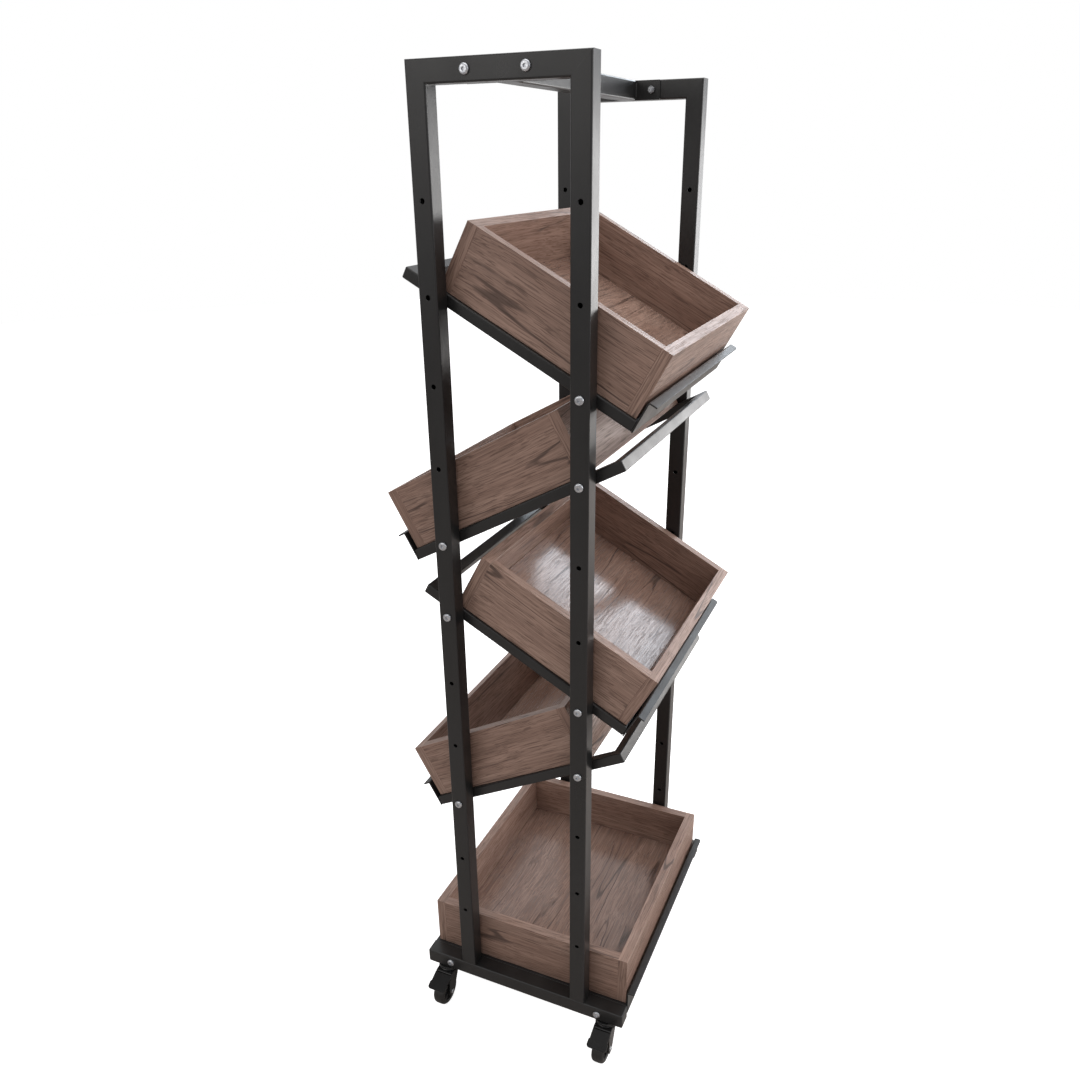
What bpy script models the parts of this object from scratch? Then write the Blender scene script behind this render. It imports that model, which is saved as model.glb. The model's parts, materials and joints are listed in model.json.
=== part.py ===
"""Newspaper rack: two tubular end frames on casters, four tilted cradles and a flat
base cradle bolted between them, and a loose wooden tray lying in each cradle.

Metres, +Z up. The origin is on the floor under the middle of the rack. X runs across
the narrow side, Y runs from the front end frame (-Y) to the rear one (+Y).
"""
import math

import bmesh
import bpy
from mathutils import Matrix, Vector

# ---------------------------------------------------------------- driving dimensions
GAP = 0.0003                 # between pieces that touch
PAST = 0.010                 # how far a cutter runs past the wall that it cuts
CASTER_HEIGHT = 0.072        # floor to the underside of the bottom bars

TUBE = 0.025                 # square tube of the end frames
TUBE_WALL = 0.0015
FRAME_WIDTH = 0.220          # over both uprights
FRAME_HEIGHT = 1.350         # underside of the bottom bar to the top of the top bar
RACK_DEPTH = 0.450           # front face to rear face
BAR_LENGTH = 0.350           # bottom bars stick out past the uprights

HOLE_COUNT = 11              # drilled in each upright
HOLE_PITCH = 0.1065
TOP_HOLE_DROP = 0.1425       # top of the frame to the first hole
HOLE_RADIUS = 0.0034
HOLE_SIDES = 8

BOLT_RADIUS = 0.0030
BOLT_SIDES = 10
HEAD_RADIUS = 0.0060
HEAD_TOP_RADIUS = 0.0032
HEAD_HEIGHT = 0.0032
BOLT_BITE = 0.010            # shank inside the tube or plate behind the end frame
SPREADER_BITE = 0.009
PEG_RADIUS = 0.0028
PEG_LENGTH = 0.020

CRADLE_TUBE = 0.015
CRADLE_WALL = 0.0012
CRADLE_LENGTH = 0.343        # along the slope, without the lip
CRADLE_SHIFT = 0.0065        # towards the lower end, from the middle of its two holes
LOW_SHIFT = -0.004           # the same for the lowest tilted cradle
BASE_LENGTH = 0.348
BASE_RISE = 0.008            # underside of the base cradle above that of the bottom bar
BASE_BOLT_X = 0.132
BASE_BOLT_RISE = 0.0125       # above the underside of the bottom bar

LIP_SHEET = 0.002
LIP_RISE = 0.043             # from the underside of the cradle to the top of the lip
LIP_FLANGE = 0.0125          # from the inner face of the web to the tip

BOARD = 0.015
FLOOR_BOARD = 0.009
FLOOR_RISE = 0.004           # underside of the floor above the tray's lower edge
TRAY_HEIGHT = 0.087
TRAY_DEPTH = 0.390
TRAY_LENGTH = 0.290
TRAY_END_GAP = 0.0035        # lower end of a tray to the inner face of the lip
BASE_TRAY_LENGTH = 0.340
BASE_TRAY_END_GAP = 0.0025

SPREADER_PLATE_LENGTH = 0.096
SPREADER_PLATE = 0.003
SPREADER_BOLT_X = 0.036

CASTER_X = 0.144
CASTER_TRAIL = 0.018
STEM_RADIUS = 0.0050
STEM_HOLE = 0.0058
STEM_TOP = 0.012             # heights from here on are above the bottom bar's underside
MOUNT_RADIUS = 0.0165
MOUNT_UNDER = -0.0082
CROWN_RADIUS = 0.0172
CROWN_TOP = -0.0085
CROWN_UNDER = -0.0125
KINGPIN_RADIUS = 0.0040
KINGPIN_HOLE = 0.0043
KINGPIN_HEAD = 0.0065
KINGPIN_END = -0.0148
TURNED_STEPS = 16

WHEEL_RADIUS = 0.025
WHEEL_WIDTH = 0.020
WHEEL_EDGE = 0.003
WHEEL_DISC = 0.012
WHEEL_RIM = 0.018
HUB_RADIUS = 0.0075
HUB_WIDTH = 0.0225
AXLE_RADIUS = 0.0030
AXLE_BORE = 0.0033
WHEEL_STEPS = 24

FORK_GAP = 0.0240            # clear width between the cheeks
CHEEK = 0.0030
CHEEK_BACK = -0.006          # cheek's top edge, along the trail
CHEEK_FRONT = 0.028
BOSS_RADIUS = 0.0075
BOSS_SIDES = 12

PEDAL_PIVOT = (0.022, -0.0175)   # along the trail, and height
PEDAL_SLOPE = 24.0               # degrees below level
PEDAL_SHEET = 0.0025
PEDAL_NECK = 0.0110              # half widths
PEDAL_TAB = 0.0165
PEDAL_BACK = -0.0035             # along the pedal, from its pivot
PEDAL_SHOULDER = 0.0130
PEDAL_TIP = 0.0250
PEDAL_PIN = 0.0014
PEDAL_PIN_HOLE = 0.0018

# Tilted levels from the top: hole number at the lower end, hole number at the upper
# end, True where the lower end is on the right (+X), the cradle's shift down its slope.
LEVELS = (
    (3, 2, True, CRADLE_SHIFT),
    (5, 4, False, CRADLE_SHIFT),
    (7, 6, True, CRADLE_SHIFT),
    (9, 8, False, LOW_SHIFT),
)
BASE_LEVEL = 5

# ---------------------------------------------------------------- derived places
BAR_UNDER = CASTER_HEIGHT
BAR_TOP = BAR_UNDER + TUBE
TOP = BAR_UNDER + FRAME_HEIGHT
UPRIGHT_X = (FRAME_WIDTH - TUBE) / 2
END_Y = (RACK_DEPTH - TUBE) / 2              # middle of an end frame
FACE_Y = RACK_DEPTH / 2                      # outer face of an end frame
INNER_Y = FACE_Y - TUBE                      # its inner face
CRADLE_DEPTH = 2 * (INNER_Y - GAP)
TILT = math.atan2(HOLE_PITCH, 2 * UPRIGHT_X)
HALF_CRADLE_TUBE = CRADLE_TUBE / 2
WHEEL_DROP = WHEEL_RADIUS - CASTER_HEIGHT    # height of the axle, below the bar

FRONT_REAR = (("front", -1), ("rear", 1))
LEFT_RIGHT = (("left", -1), ("right", 1))

# Colour, roughness and metallic value of each material.
BLACK_STEEL = ((0.030, 0.031, 0.033), 0.42, 0.0)
ZINC = ((0.62, 0.63, 0.66), 0.30, 1.0)
WALNUT = ((0.23, 0.16, 0.12), 0.45, 0.0)
RUBBER = ((0.025, 0.025, 0.026), 0.60, 0.0)
NYLON = ((0.020, 0.020, 0.022), 0.35, 0.0)


def hole_z(number):
    """Height of the upright's hole with that number, counted from the top."""
    return TOP - TOP_HOLE_DROP - (number - 1) * HOLE_PITCH


# ---------------------------------------------------------------- scene and materials
for old in list(bpy.data.objects):
    bpy.data.objects.remove(old, do_unlink=True)

rack = bpy.data.collections.new("newspaper_rack")
cutters = bpy.data.collections.new("cutters")
bpy.context.scene.collection.children.link(rack)
bpy.context.scene.collection.children.link(cutters)


def material(name, look):
    """A Principled material of one colour, roughness and metallic value."""
    colour, roughness, metallic = look
    made = bpy.data.materials.new(name)
    made.use_nodes = True
    shader = made.node_tree.nodes["Principled BSDF"]
    shader.inputs["Base Color"].default_value = (*colour, 1.0)
    shader.inputs["Roughness"].default_value = roughness
    shader.inputs["Metallic"].default_value = metallic
    return made


# ---------------------------------------------------------------- shape helpers
def piece(name, mesh, look, parent=None):
    """An object of the rack, placed in its parent's frame."""
    made = bpy.data.objects.new(name, mesh)
    rack.objects.link(made)
    made.parent = parent
    mesh.materials.append(material(name, look))
    return made


def guide(name, place, turn=(0.0, 0.0, 0.0), parent=None):
    """An empty that carries the pieces of one level, one caster or one moving part."""
    made = bpy.data.objects.new(name, None)
    rack.objects.link(made)
    made.location = place
    made.rotation_euler = turn
    made.parent = parent
    return made


def combine(target, mesh, operation="DIFFERENCE"):
    """Cuts a mesh from the target, or joins it on, in the target's own frame."""
    tool = bpy.data.objects.new(f"{target.name}_tool_{len(target.modifiers)}", mesh)
    cutters.objects.link(tool)
    tool.parent = target
    tool.hide_render = True
    tool.display_type = "WIRE"
    step = target.modifiers.new(operation.lower(), "BOOLEAN")
    step.operation = operation
    step.solver = "EXACT"
    step.object = tool


def to_mesh(bm, name):
    """Turns a bmesh into a mesh and frees it."""
    mesh = bpy.data.meshes.new(name)
    bm.to_mesh(mesh)
    bm.free()
    return mesh


def box(low, high, name="box"):
    """A box between two corners."""
    low, high = Vector(low), Vector(high)
    bm = bmesh.new()
    bmesh.ops.create_cube(bm, size=1.0)
    bmesh.ops.scale(bm, vec=high - low, verts=bm.verts)
    bmesh.ops.translate(bm, vec=(low + high) / 2, verts=bm.verts)
    return to_mesh(bm, name)


def add_rod(bm, radius, start, end, sides, end_radius=None):
    """Adds a rod, or a cone, from start to end."""
    start, end = Vector(start), Vector(end)
    run = end - start
    turn = run.to_track_quat("Z", "Y").to_matrix().to_4x4()
    bmesh.ops.create_cone(
        bm, cap_ends=True, segments=sides, radius1=radius,
        radius2=radius if end_radius is None else end_radius,
        depth=run.length, matrix=Matrix.Translation((start + end) / 2) @ turn,
    )


def rod(radius, start, end, sides=HOLE_SIDES, end_radius=None, name="rod"):
    """A rod, or a cone, from start to end."""
    bm = bmesh.new()
    add_rod(bm, radius, start, end, sides, end_radius)
    return to_mesh(bm, name)


def rods(radius, runs, name="rods"):
    """Separate parallel rods as one cutter."""
    bm = bmesh.new()
    for start, end in runs:
        add_rod(bm, radius, start, end, HOLE_SIDES)
    return to_mesh(bm, name)


def turned(name, outline, look, steps, parent=None, turn=(0.0, 0.0, 0.0), closed=False):
    """A solid turned about Z from (radius, height) points that run from top to bottom."""
    bm = bmesh.new()
    points = [bm.verts.new((radius, 0.0, height)) for radius, height in outline]
    for start, end in zip(points, points[1:] + points[:1] if closed else points[1:]):
        bm.edges.new((start, end))
    made = piece(name, to_mesh(bm, name), look, parent)
    made.rotation_euler = turn
    screw = made.modifiers.new("turn", "SCREW")
    screw.axis = "Z"
    screw.steps = steps
    screw.render_steps = steps
    screw.use_merge_vertices = True
    screw.merge_threshold = 0.00005
    screw.use_smooth_shade = True
    return made


# ---------------------------------------------------------------- end frames
def mitred(low, high, top_side=0, left_right=0):
    """A box whose top end, or both ends along X, are cut at 45 degrees.

    top_side is the X side that keeps its full height; left_right is 1 to slope both
    X ends of a top bar so that its upper edge stays full length.
    """
    mesh = box(low, high)
    for vertex in mesh.vertices:
        if top_side and vertex.co.z > (low[2] + high[2]) / 2:
            vertex.co.z -= abs(vertex.co.x - top_side * FRAME_WIDTH / 2)
        if left_right:
            vertex.co.x -= math.copysign(TOP - vertex.co.z, vertex.co.x)
    return mesh


def make_upright(end_name, end, side_name, side):
    """A drilled upright, mitred at its top and standing on the bottom bar."""
    y = end * END_Y
    outer_x, inner_x = side * FRAME_WIDTH / 2, side * (FRAME_WIDTH / 2 - TUBE)
    low = (min(outer_x, inner_x), y - TUBE / 2, BAR_TOP + GAP)
    high = (max(outer_x, inner_x), y + TUBE / 2, TOP - GAP)
    name = f"{end_name}_{side_name}_upright"
    upright = piece(name, mitred(low, high, top_side=side), BLACK_STEEL)
    bore_low = (low[0] + TUBE_WALL, low[1] + TUBE_WALL, low[2] - PAST)
    bore_high = (high[0] - TUBE_WALL, high[1] - TUBE_WALL, high[2] + PAST)
    combine(upright, box(bore_low, bore_high))
    holes = []
    for number in range(1, HOLE_COUNT + 1):
        z = hole_z(number)
        holes.append(((side * UPRIGHT_X, y - TUBE, z), (side * UPRIGHT_X, y + TUBE, z)))
    combine(upright, rods(HOLE_RADIUS, holes))


def make_top_bar(end_name, end):
    """The top bar of an end frame, mitred at both ends, with two bolt holes."""
    y = end * END_Y
    half = FRAME_WIDTH / 2 - GAP
    low, high = (-half, y - TUBE / 2, TOP - TUBE), (half, y + TUBE / 2, TOP)
    bar = piece(f"{end_name}_top_bar", mitred(low, high, left_right=1), BLACK_STEEL)
    reach = FRAME_WIDTH / 2
    bore_low = (-reach, low[1] + TUBE_WALL, low[2] + TUBE_WALL)
    bore_high = (reach, high[1] - TUBE_WALL, high[2] - TUBE_WALL)
    combine(bar, box(bore_low, bore_high))
    z = TOP - TUBE / 2
    combine(bar, rods(HOLE_RADIUS, [
        ((side * SPREADER_BOLT_X, y - TUBE, z), (side * SPREADER_BOLT_X, y + TUBE, z))
        for side in (-1, 1)
    ]))


def make_bottom_bar(end_name, end):
    """A bottom bar with closed ends, bolt holes and a hole for each caster's stem."""
    y = end * END_Y
    half = BAR_LENGTH / 2
    low, high = Vector((-half, y - TUBE / 2, BAR_UNDER)), Vector((half, y + TUBE / 2, BAR_TOP))
    wall = Vector((TUBE_WALL, TUBE_WALL, TUBE_WALL))
    bar = piece(f"{end_name}_bottom_bar", box(low, high), BLACK_STEEL)
    combine(bar, box(low + wall, high - wall))
    z = BAR_UNDER + BASE_BOLT_RISE
    combine(bar, rods(HOLE_RADIUS, [
        ((side * BASE_BOLT_X, y - TUBE, z), (side * BASE_BOLT_X, y + TUBE, z))
        for side in (-1, 1)
    ]))
    combine(bar, rods(STEM_HOLE, [
        ((side * CASTER_X, y, BAR_UNDER - PAST), (side * CASTER_X, y, BAR_UNDER + PAST))
        for side in (-1, 1)
    ]))


def make_spreader():
    """The single tube between the top bars, with a bolted plate at each end."""
    tube_y = INNER_Y - GAP - SPREADER_PLATE / 2
    half = TUBE / 2
    mesh = box((-half, -tube_y, TOP - TUBE), (half, tube_y, TOP))
    spreader = piece("top_spreader_bar", mesh, BLACK_STEEL)
    plate_half = SPREADER_PLATE_LENGTH / 2
    for end in (-1, 1):
        outer, inner = end * (INNER_Y - GAP), end * (INNER_Y - GAP - SPREADER_PLATE)
        plate = box((-plate_half, min(outer, inner), TOP - TUBE),
                    (plate_half, max(outer, inner), TOP))
        combine(spreader, plate, "UNION")
    inside = half - TUBE_WALL
    combine(spreader, box((-inside, -FACE_Y, TOP - half - inside), (inside, FACE_Y, TOP - half + inside)))
    z = TOP - half
    combine(spreader, rods(HOLE_RADIUS, [
        ((side * SPREADER_BOLT_X, -FACE_Y, z), (side * SPREADER_BOLT_X, FACE_Y, z))
        for side in (-1, 1)
    ]))


# ---------------------------------------------------------------- cradles and trays
def make_cradle(name, level, left, right, bolt_holes):
    """A frame of four hollow tubes with a folded lip welded along its right edge.

    left and right are the ends of the tubes along the level's X, and bolt_holes are
    the X and Z places that are drilled through both outer side walls.
    """
    half_y, half_z = CRADLE_DEPTH / 2, HALF_CRADLE_TUBE
    cradle = piece(name, box((left, -half_y, -half_z), (right, half_y, half_z)), BLACK_STEEL, level)
    web_top = LIP_RISE - half_z
    web = box((right - CRADLE_WALL, -half_y, -half_z), (right + LIP_SHEET, half_y, web_top))
    flange_low = (right, -half_y, web_top - LIP_SHEET)
    flange = box(flange_low, (right + LIP_FLANGE, half_y, web_top))
    above_tube = box((right - CRADLE_TUBE, -FACE_Y, half_z), (right, FACE_Y, web_top + PAST))
    combine(cradle, web, "UNION")
    combine(cradle, flange, "UNION")
    combine(cradle, above_tube)
    window = CRADLE_TUBE
    combine(cradle, box((left + window, -half_y + window, -PAST), (right - window, half_y - window, PAST)))
    near, far, bore = CRADLE_WALL, CRADLE_TUBE - CRADLE_WALL, half_z - CRADLE_WALL
    for start, end in ((left + near, left + far), (right - far, right - near)):
        combine(cradle, box((start, -half_y + near, -bore), (end, half_y - near, bore)))
    for start, end in ((-half_y + near, -half_y + far), (half_y - far, half_y - near)):
        combine(cradle, box((left + near, start, -bore), (right - near, end, bore)))
    for sign in (-1, 1):
        outside, inside = sign * (half_y + PAST), sign * (half_y - HALF_CRADLE_TUBE)
        combine(cradle, rods(HOLE_RADIUS, [
            ((x, outside, z), (x, inside, z)) for x, z in bolt_holes
        ]))
    return cradle


def add_pegs(cradle, x):
    """Welded pegs that hang the cradle in the end frames' holes at one end."""
    half_y = CRADLE_DEPTH / 2
    for sign in (-1, 1):
        root, tip = sign * (half_y - CRADLE_WALL / 2), sign * (half_y + PEG_LENGTH)
        combine(cradle, rod(PEG_RADIUS, (x, root, 0), (x, tip, 0), BOLT_SIDES), "UNION")


def make_tray(number, level, left, right, bottom):
    """A tray of four glued boards and a floor, between two places along the level's X."""
    half_y = TRAY_DEPTH / 2
    walls = piece(
        f"tray_{number}_boards",
        box((left, -half_y, bottom), (right, half_y, bottom + TRAY_HEIGHT)), WALNUT, level,
    )
    inner_low = Vector((left + BOARD, -half_y + BOARD, bottom - PAST))
    inner_high = Vector((right - BOARD, half_y - BOARD, bottom + TRAY_HEIGHT + PAST))
    combine(walls, box(inner_low, inner_high))
    gap = Vector((GAP, GAP, 0.0))
    floor_low, floor_high = inner_low + gap, inner_high - gap
    floor_low.z = bottom + FLOOR_RISE
    floor_high.z = floor_low.z + FLOOR_BOARD
    piece(f"tray_{number}_floor", box(floor_low, floor_high), WALNUT, level)


def make_tilted_level(number, lower_hole, upper_hole, to_right, shift):
    """A tilted cradle with its tray. The level's X runs down the slope."""
    middle = (hole_z(lower_hole) + hole_z(upper_hole)) / 2
    level = guide(f"level_{number}", (0, 0, middle), (0, TILT, 0 if to_right else math.pi))
    right = CRADLE_LENGTH / 2 + shift
    bolt_x = UPRIGHT_X / math.cos(TILT)
    pegged = number == 1
    bolts = [(bolt_x, 0.0)] if pegged else [(-bolt_x, 0.0), (bolt_x, 0.0)]
    cradle = make_cradle(f"cradle_{number}", level, right - CRADLE_LENGTH, right, bolts)
    if pegged:
        add_pegs(cradle, -bolt_x)
    tray_right = right - TRAY_END_GAP
    make_tray(number, level, tray_right - TRAY_LENGTH, tray_right, HALF_CRADLE_TUBE + GAP)


def make_base_level():
    """The flat base cradle between the bottom bars, with its longer tray."""
    rise = BAR_UNDER + BASE_RISE + HALF_CRADLE_TUBE
    level = guide(f"level_{BASE_LEVEL}", (0, 0, rise))
    left = -BAR_LENGTH / 2
    right = left + BASE_LENGTH
    bolt_z = BAR_UNDER + BASE_BOLT_RISE - rise
    bolts = [(-BASE_BOLT_X, bolt_z), (BASE_BOLT_X, bolt_z)]
    make_cradle("base_cradle", level, left, right, bolts)
    tray_right = right - BASE_TRAY_END_GAP
    tray_left = tray_right - BASE_TRAY_LENGTH
    make_tray(BASE_LEVEL, level, tray_left, tray_right, HALF_CRADLE_TUBE + GAP)


# ---------------------------------------------------------------- bolts
def make_bolt(name, end, x, z, bite):
    """A button-head bolt from an end frame's outer face into what stands behind it."""
    face = end * (FACE_Y + GAP)
    bm = bmesh.new()
    add_rod(bm, HEAD_RADIUS, (x, face, z), (x, face + end * HEAD_HEIGHT, z), BOLT_SIDES, HEAD_TOP_RADIUS)
    bolt = piece(name, to_mesh(bm, name), ZINC)
    inside = end * (INNER_Y - bite)
    shank = rod(BOLT_RADIUS, (x, face + end * HEAD_HEIGHT / 2, z), (x, inside, z), BOLT_SIDES)
    combine(bolt, shank, "UNION")


def make_bolts():
    """All the bolts of both end frames."""
    for end_name, end in FRONT_REAR:
        for number, (lower_hole, upper_hole, to_right, _) in enumerate(LEVELS, 1):
            side = 1 if to_right else -1
            make_bolt(f"{end_name}_bolt_{number}_low", end, side * UPRIGHT_X, hole_z(lower_hole), BOLT_BITE)
            if number > 1:
                z = hole_z(upper_hole)
                make_bolt(f"{end_name}_bolt_{number}_high", end, -side * UPRIGHT_X, z, BOLT_BITE)
        for side_name, side in LEFT_RIGHT:
            z = BAR_UNDER + BASE_BOLT_RISE
            make_bolt(f"{end_name}_base_bolt_{side_name}", end, side * BASE_BOLT_X, z, BOLT_BITE)
            z = TOP - TUBE / 2
            name = f"{end_name}_spreader_bolt_{side_name}"
            make_bolt(name, end, side * SPREADER_BOLT_X, z, SPREADER_BITE)


# ---------------------------------------------------------------- casters
def make_mount(name, place):
    """The fixed part: a stem up into the bar, a bearing disc and a riveted kingpin."""
    outline = (
        (0.0, STEM_TOP), (STEM_RADIUS, STEM_TOP), (STEM_RADIUS, -GAP), (MOUNT_RADIUS, -GAP),
        (MOUNT_RADIUS, MOUNT_UNDER), (KINGPIN_RADIUS, MOUNT_UNDER),
        (KINGPIN_RADIUS, CROWN_UNDER - GAP), (KINGPIN_HEAD, CROWN_UNDER - GAP),
        (KINGPIN_HEAD, KINGPIN_END), (0.0, KINGPIN_END),
    )
    turned(f"{name}_mount", outline, BLACK_STEEL, TURNED_STEPS, parent=place)


def cheek(side):
    """One side plate of a fork, from the crown down to the axle's boss."""
    bm = bmesh.new()
    for x in (side * FORK_GAP / 2, side * (FORK_GAP / 2 + CHEEK)):
        for y in (CHEEK_BACK, CHEEK_FRONT):
            bm.verts.new((x, y, CROWN_UNDER + CHEEK / 2))
            bm.verts.new((x, y, CROWN_UNDER - CHEEK / 2))
        for step in range(BOSS_SIDES):
            angle = 2 * math.pi * step / BOSS_SIDES
            y = CASTER_TRAIL + BOSS_RADIUS * math.cos(angle)
            bm.verts.new((x, y, WHEEL_DROP + BOSS_RADIUS * math.sin(angle)))
    hull = bmesh.ops.convex_hull(bm, input=bm.verts)
    bmesh.ops.delete(bm, geom=hull["geom_interior"], context="VERTS")
    bmesh.ops.recalc_face_normals(bm, faces=bm.faces)
    return to_mesh(bm, "cheek")


def make_fork(name, swivel, with_pedal):
    """The swivelling fork: a round crown, two cheeks and the riveted axle."""
    crown = rod(CROWN_RADIUS, (0, 0, CROWN_UNDER), (0, 0, CROWN_TOP), TURNED_STEPS)
    fork = piece(f"{name}_fork", crown, BLACK_STEEL, swivel)
    half = FORK_GAP / 2 + CHEEK
    bridge = box((-half, 0, CROWN_UNDER), (half, CHEEK_FRONT, CROWN_TOP))
    combine(fork, bridge, "UNION")
    for side in (-1, 1):
        combine(fork, cheek(side), "UNION")
    axle_end = half + CHEEK / 2
    axle = rod(AXLE_RADIUS, (-axle_end, CASTER_TRAIL, WHEEL_DROP), (axle_end, CASTER_TRAIL, WHEEL_DROP), 12)
    combine(fork, axle, "UNION")
    combine(fork, rod(KINGPIN_HOLE, (0, 0, CROWN_UNDER - PAST), (0, 0, CROWN_TOP + PAST), TURNED_STEPS))
    if with_pedal:
        y, z = PEDAL_PIVOT
        combine(fork, rod(PEDAL_PIN_HOLE, (-axle_end, y, z), (axle_end, y, z)))


def make_wheel(name, hub):
    """A solid wheel with a rounded tread, thin discs and a bored hub."""
    half, hub_half, disc = WHEEL_WIDTH / 2, HUB_WIDTH / 2, WHEEL_DISC / 2
    outline = (
        (AXLE_BORE, hub_half), (HUB_RADIUS, hub_half), (HUB_RADIUS, disc), (WHEEL_RIM, disc),
        (WHEEL_RIM, half), (WHEEL_RADIUS - WHEEL_EDGE, half), (WHEEL_RADIUS, half - WHEEL_EDGE),
        (WHEEL_RADIUS, WHEEL_EDGE - half), (WHEEL_RADIUS - WHEEL_EDGE, -half), (WHEEL_RIM, -half),
        (WHEEL_RIM, -disc), (HUB_RADIUS, -disc), (HUB_RADIUS, -hub_half), (AXLE_BORE, -hub_half),
    )
    turned(f"{name}_wheel", outline, RUBBER, WHEEL_STEPS, hub, (0, math.pi / 2, 0), closed=True)


def make_pedal(name, pivot):
    """A brake pedal: a neck between the cheeks, a wide tab past them and a hinge pin."""
    half = PEDAL_SHEET / 2
    mesh = box((-PEDAL_NECK, PEDAL_BACK, -half), (PEDAL_NECK, PEDAL_TIP - half, half))
    pedal = piece(f"{name}_brake_pedal", mesh, NYLON, pivot)
    tab = box((-PEDAL_TAB, PEDAL_SHOULDER, -half), (PEDAL_TAB, PEDAL_TIP, half))
    combine(pedal, tab, "UNION")
    reach = FORK_GAP / 2 + CHEEK
    combine(pedal, rod(PEDAL_PIN, (-reach, 0, 0), (reach, 0, 0)), "UNION")


def make_caster(end_name, end, side_name, side):
    """A swivel caster under a bottom bar. Its own Y runs along the trail, outwards."""
    name = f"{end_name}_{side_name}"
    heading = math.pi if end < 0 else 0.0
    swivel = guide(f"{name}_caster", (side * CASTER_X, end * END_Y, BAR_UNDER), (0, 0, heading))
    make_mount(name, swivel)
    with_pedal = end < 0
    make_fork(name, swivel, with_pedal)
    hub = guide(f"{name}_axle", (0, CASTER_TRAIL, WHEEL_DROP), parent=swivel)
    make_wheel(name, hub)
    if with_pedal:
        y, z = PEDAL_PIVOT
        tip_down = -math.radians(PEDAL_SLOPE)
        pivot = guide(f"{name}_pedal_pivot", (0, y, z), (tip_down, 0, 0), swivel)
        make_pedal(name, pivot)


# ---------------------------------------------------------------- assembly
for end_name, end in FRONT_REAR:
    for side_name, side in LEFT_RIGHT:
        make_upright(end_name, end, side_name, side)
        make_caster(end_name, end, side_name, side)
    make_top_bar(end_name, end)
    make_bottom_bar(end_name, end)
make_spreader()
for number, (lower_hole, upper_hole, to_right, shift) in enumerate(LEVELS, 1):
    make_tilted_level(number, lower_hole, upper_hole, to_right, shift)
make_base_level()
make_bolts()
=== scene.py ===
"""The looks of a newspaper rack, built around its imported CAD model.

Metres, +Z up, in the model's own frame: X runs across the narrow side and Y from the
front end frame to the rear one. Each sub-assembly is a class that takes its places from
the CAD nodes, models its pieces with Blender's operators and dresses them in a finish.
"""
import functools
import json
import logging
import math
from dataclasses import dataclass, field
from enum import Enum
from typing import Callable, Sequence

import bmesh
import bpy
from mathutils import Matrix, Vector


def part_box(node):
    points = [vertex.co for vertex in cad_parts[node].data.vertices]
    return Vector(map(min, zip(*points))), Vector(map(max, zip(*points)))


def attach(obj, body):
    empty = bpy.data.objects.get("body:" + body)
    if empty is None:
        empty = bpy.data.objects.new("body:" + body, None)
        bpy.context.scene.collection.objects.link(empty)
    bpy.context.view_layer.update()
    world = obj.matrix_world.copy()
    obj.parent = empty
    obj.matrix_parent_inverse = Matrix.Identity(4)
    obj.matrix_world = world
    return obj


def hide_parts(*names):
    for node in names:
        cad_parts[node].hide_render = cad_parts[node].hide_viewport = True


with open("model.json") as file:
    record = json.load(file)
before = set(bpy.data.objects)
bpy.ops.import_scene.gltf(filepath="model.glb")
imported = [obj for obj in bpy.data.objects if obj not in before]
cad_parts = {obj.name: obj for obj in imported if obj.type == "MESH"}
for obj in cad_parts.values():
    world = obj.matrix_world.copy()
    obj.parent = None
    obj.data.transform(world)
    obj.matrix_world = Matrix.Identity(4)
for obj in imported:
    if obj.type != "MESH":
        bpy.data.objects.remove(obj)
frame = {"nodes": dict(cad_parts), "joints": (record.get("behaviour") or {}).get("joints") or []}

Piece = bpy.types.Object
Material = bpy.types.Material
Node = bpy.types.Node
Socket = bpy.types.NodeSocket
Tree = bpy.types.NodeTree
Point = Sequence[float]
Outline = Sequence[tuple[float, float]]
Triple = tuple[float, float, float]
EdgeTest = Callable[[Vector, Vector], bool]

log = logging.getLogger("newspaper_rack")

GAP = 0.0003                 # between pieces that touch
NEAR = 1e-5                  # places closer than this are the same
WEAR_REACH = 0.0012          # how far from an edge rubbing shows
UP = Vector((0.0, 0.0, 1.0))
WHITE = (1.0, 1.0, 1.0)
FRONT_REAR = (("front", -1), ("rear", 1))
LEFT_RIGHT = (("left", -1), ("right", 1))


class Slot(Enum):
    """The record's material slots."""

    FRAME = "black_frame"
    BOARD = "walnut_board"
    BOLT = "zinc_bolts"
    CASTER = "caster_steel"
    WHEEL = "wheel_rubber"
    PEDAL = "pedal_nylon"


class Axis(Enum):
    """A main direction, as an index into a vector."""

    X = 0
    Y = 1
    Z = 2


class Pick(Enum):
    """What an edit-mode selection is made of."""

    POINTS = (True, False, False)
    EDGES = (False, True, False)
    FACES = (False, False, True)


# ---------------------------------------------------------------- modelling moves
def activate(piece: Piece) -> None:
    """Makes a piece the only selected one, and the active one."""
    bpy.ops.object.select_all(action="DESELECT")
    piece.select_set(True)
    bpy.context.view_layer.objects.active = piece


def settle(piece: Piece) -> Piece:
    """Moves a piece's place, turn and size into its mesh, and returns it."""
    activate(piece)
    bpy.ops.object.transform_apply(location=True, rotation=True, scale=True)
    return piece


def named(name: str) -> Piece:
    """Names the primitive that was just added, settles it and returns it."""
    made = bpy.context.view_layer.objects.active
    made.name = name
    made.data.name = name
    return settle(made)


def block(name: str, low: Point, high: Point) -> Piece:
    """A block between two corners.

    Args:
        name: Name of the new object.
        low: Its lowest corner.
        high: Its highest corner.

    Returns:
        The new object.
    """
    low, high = Vector(low), Vector(high)
    bpy.ops.object.select_all(action="DESELECT")
    bpy.ops.mesh.primitive_cube_add(size=1.0, location=(low + high) / 2, scale=high - low)
    return named(name)


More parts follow.
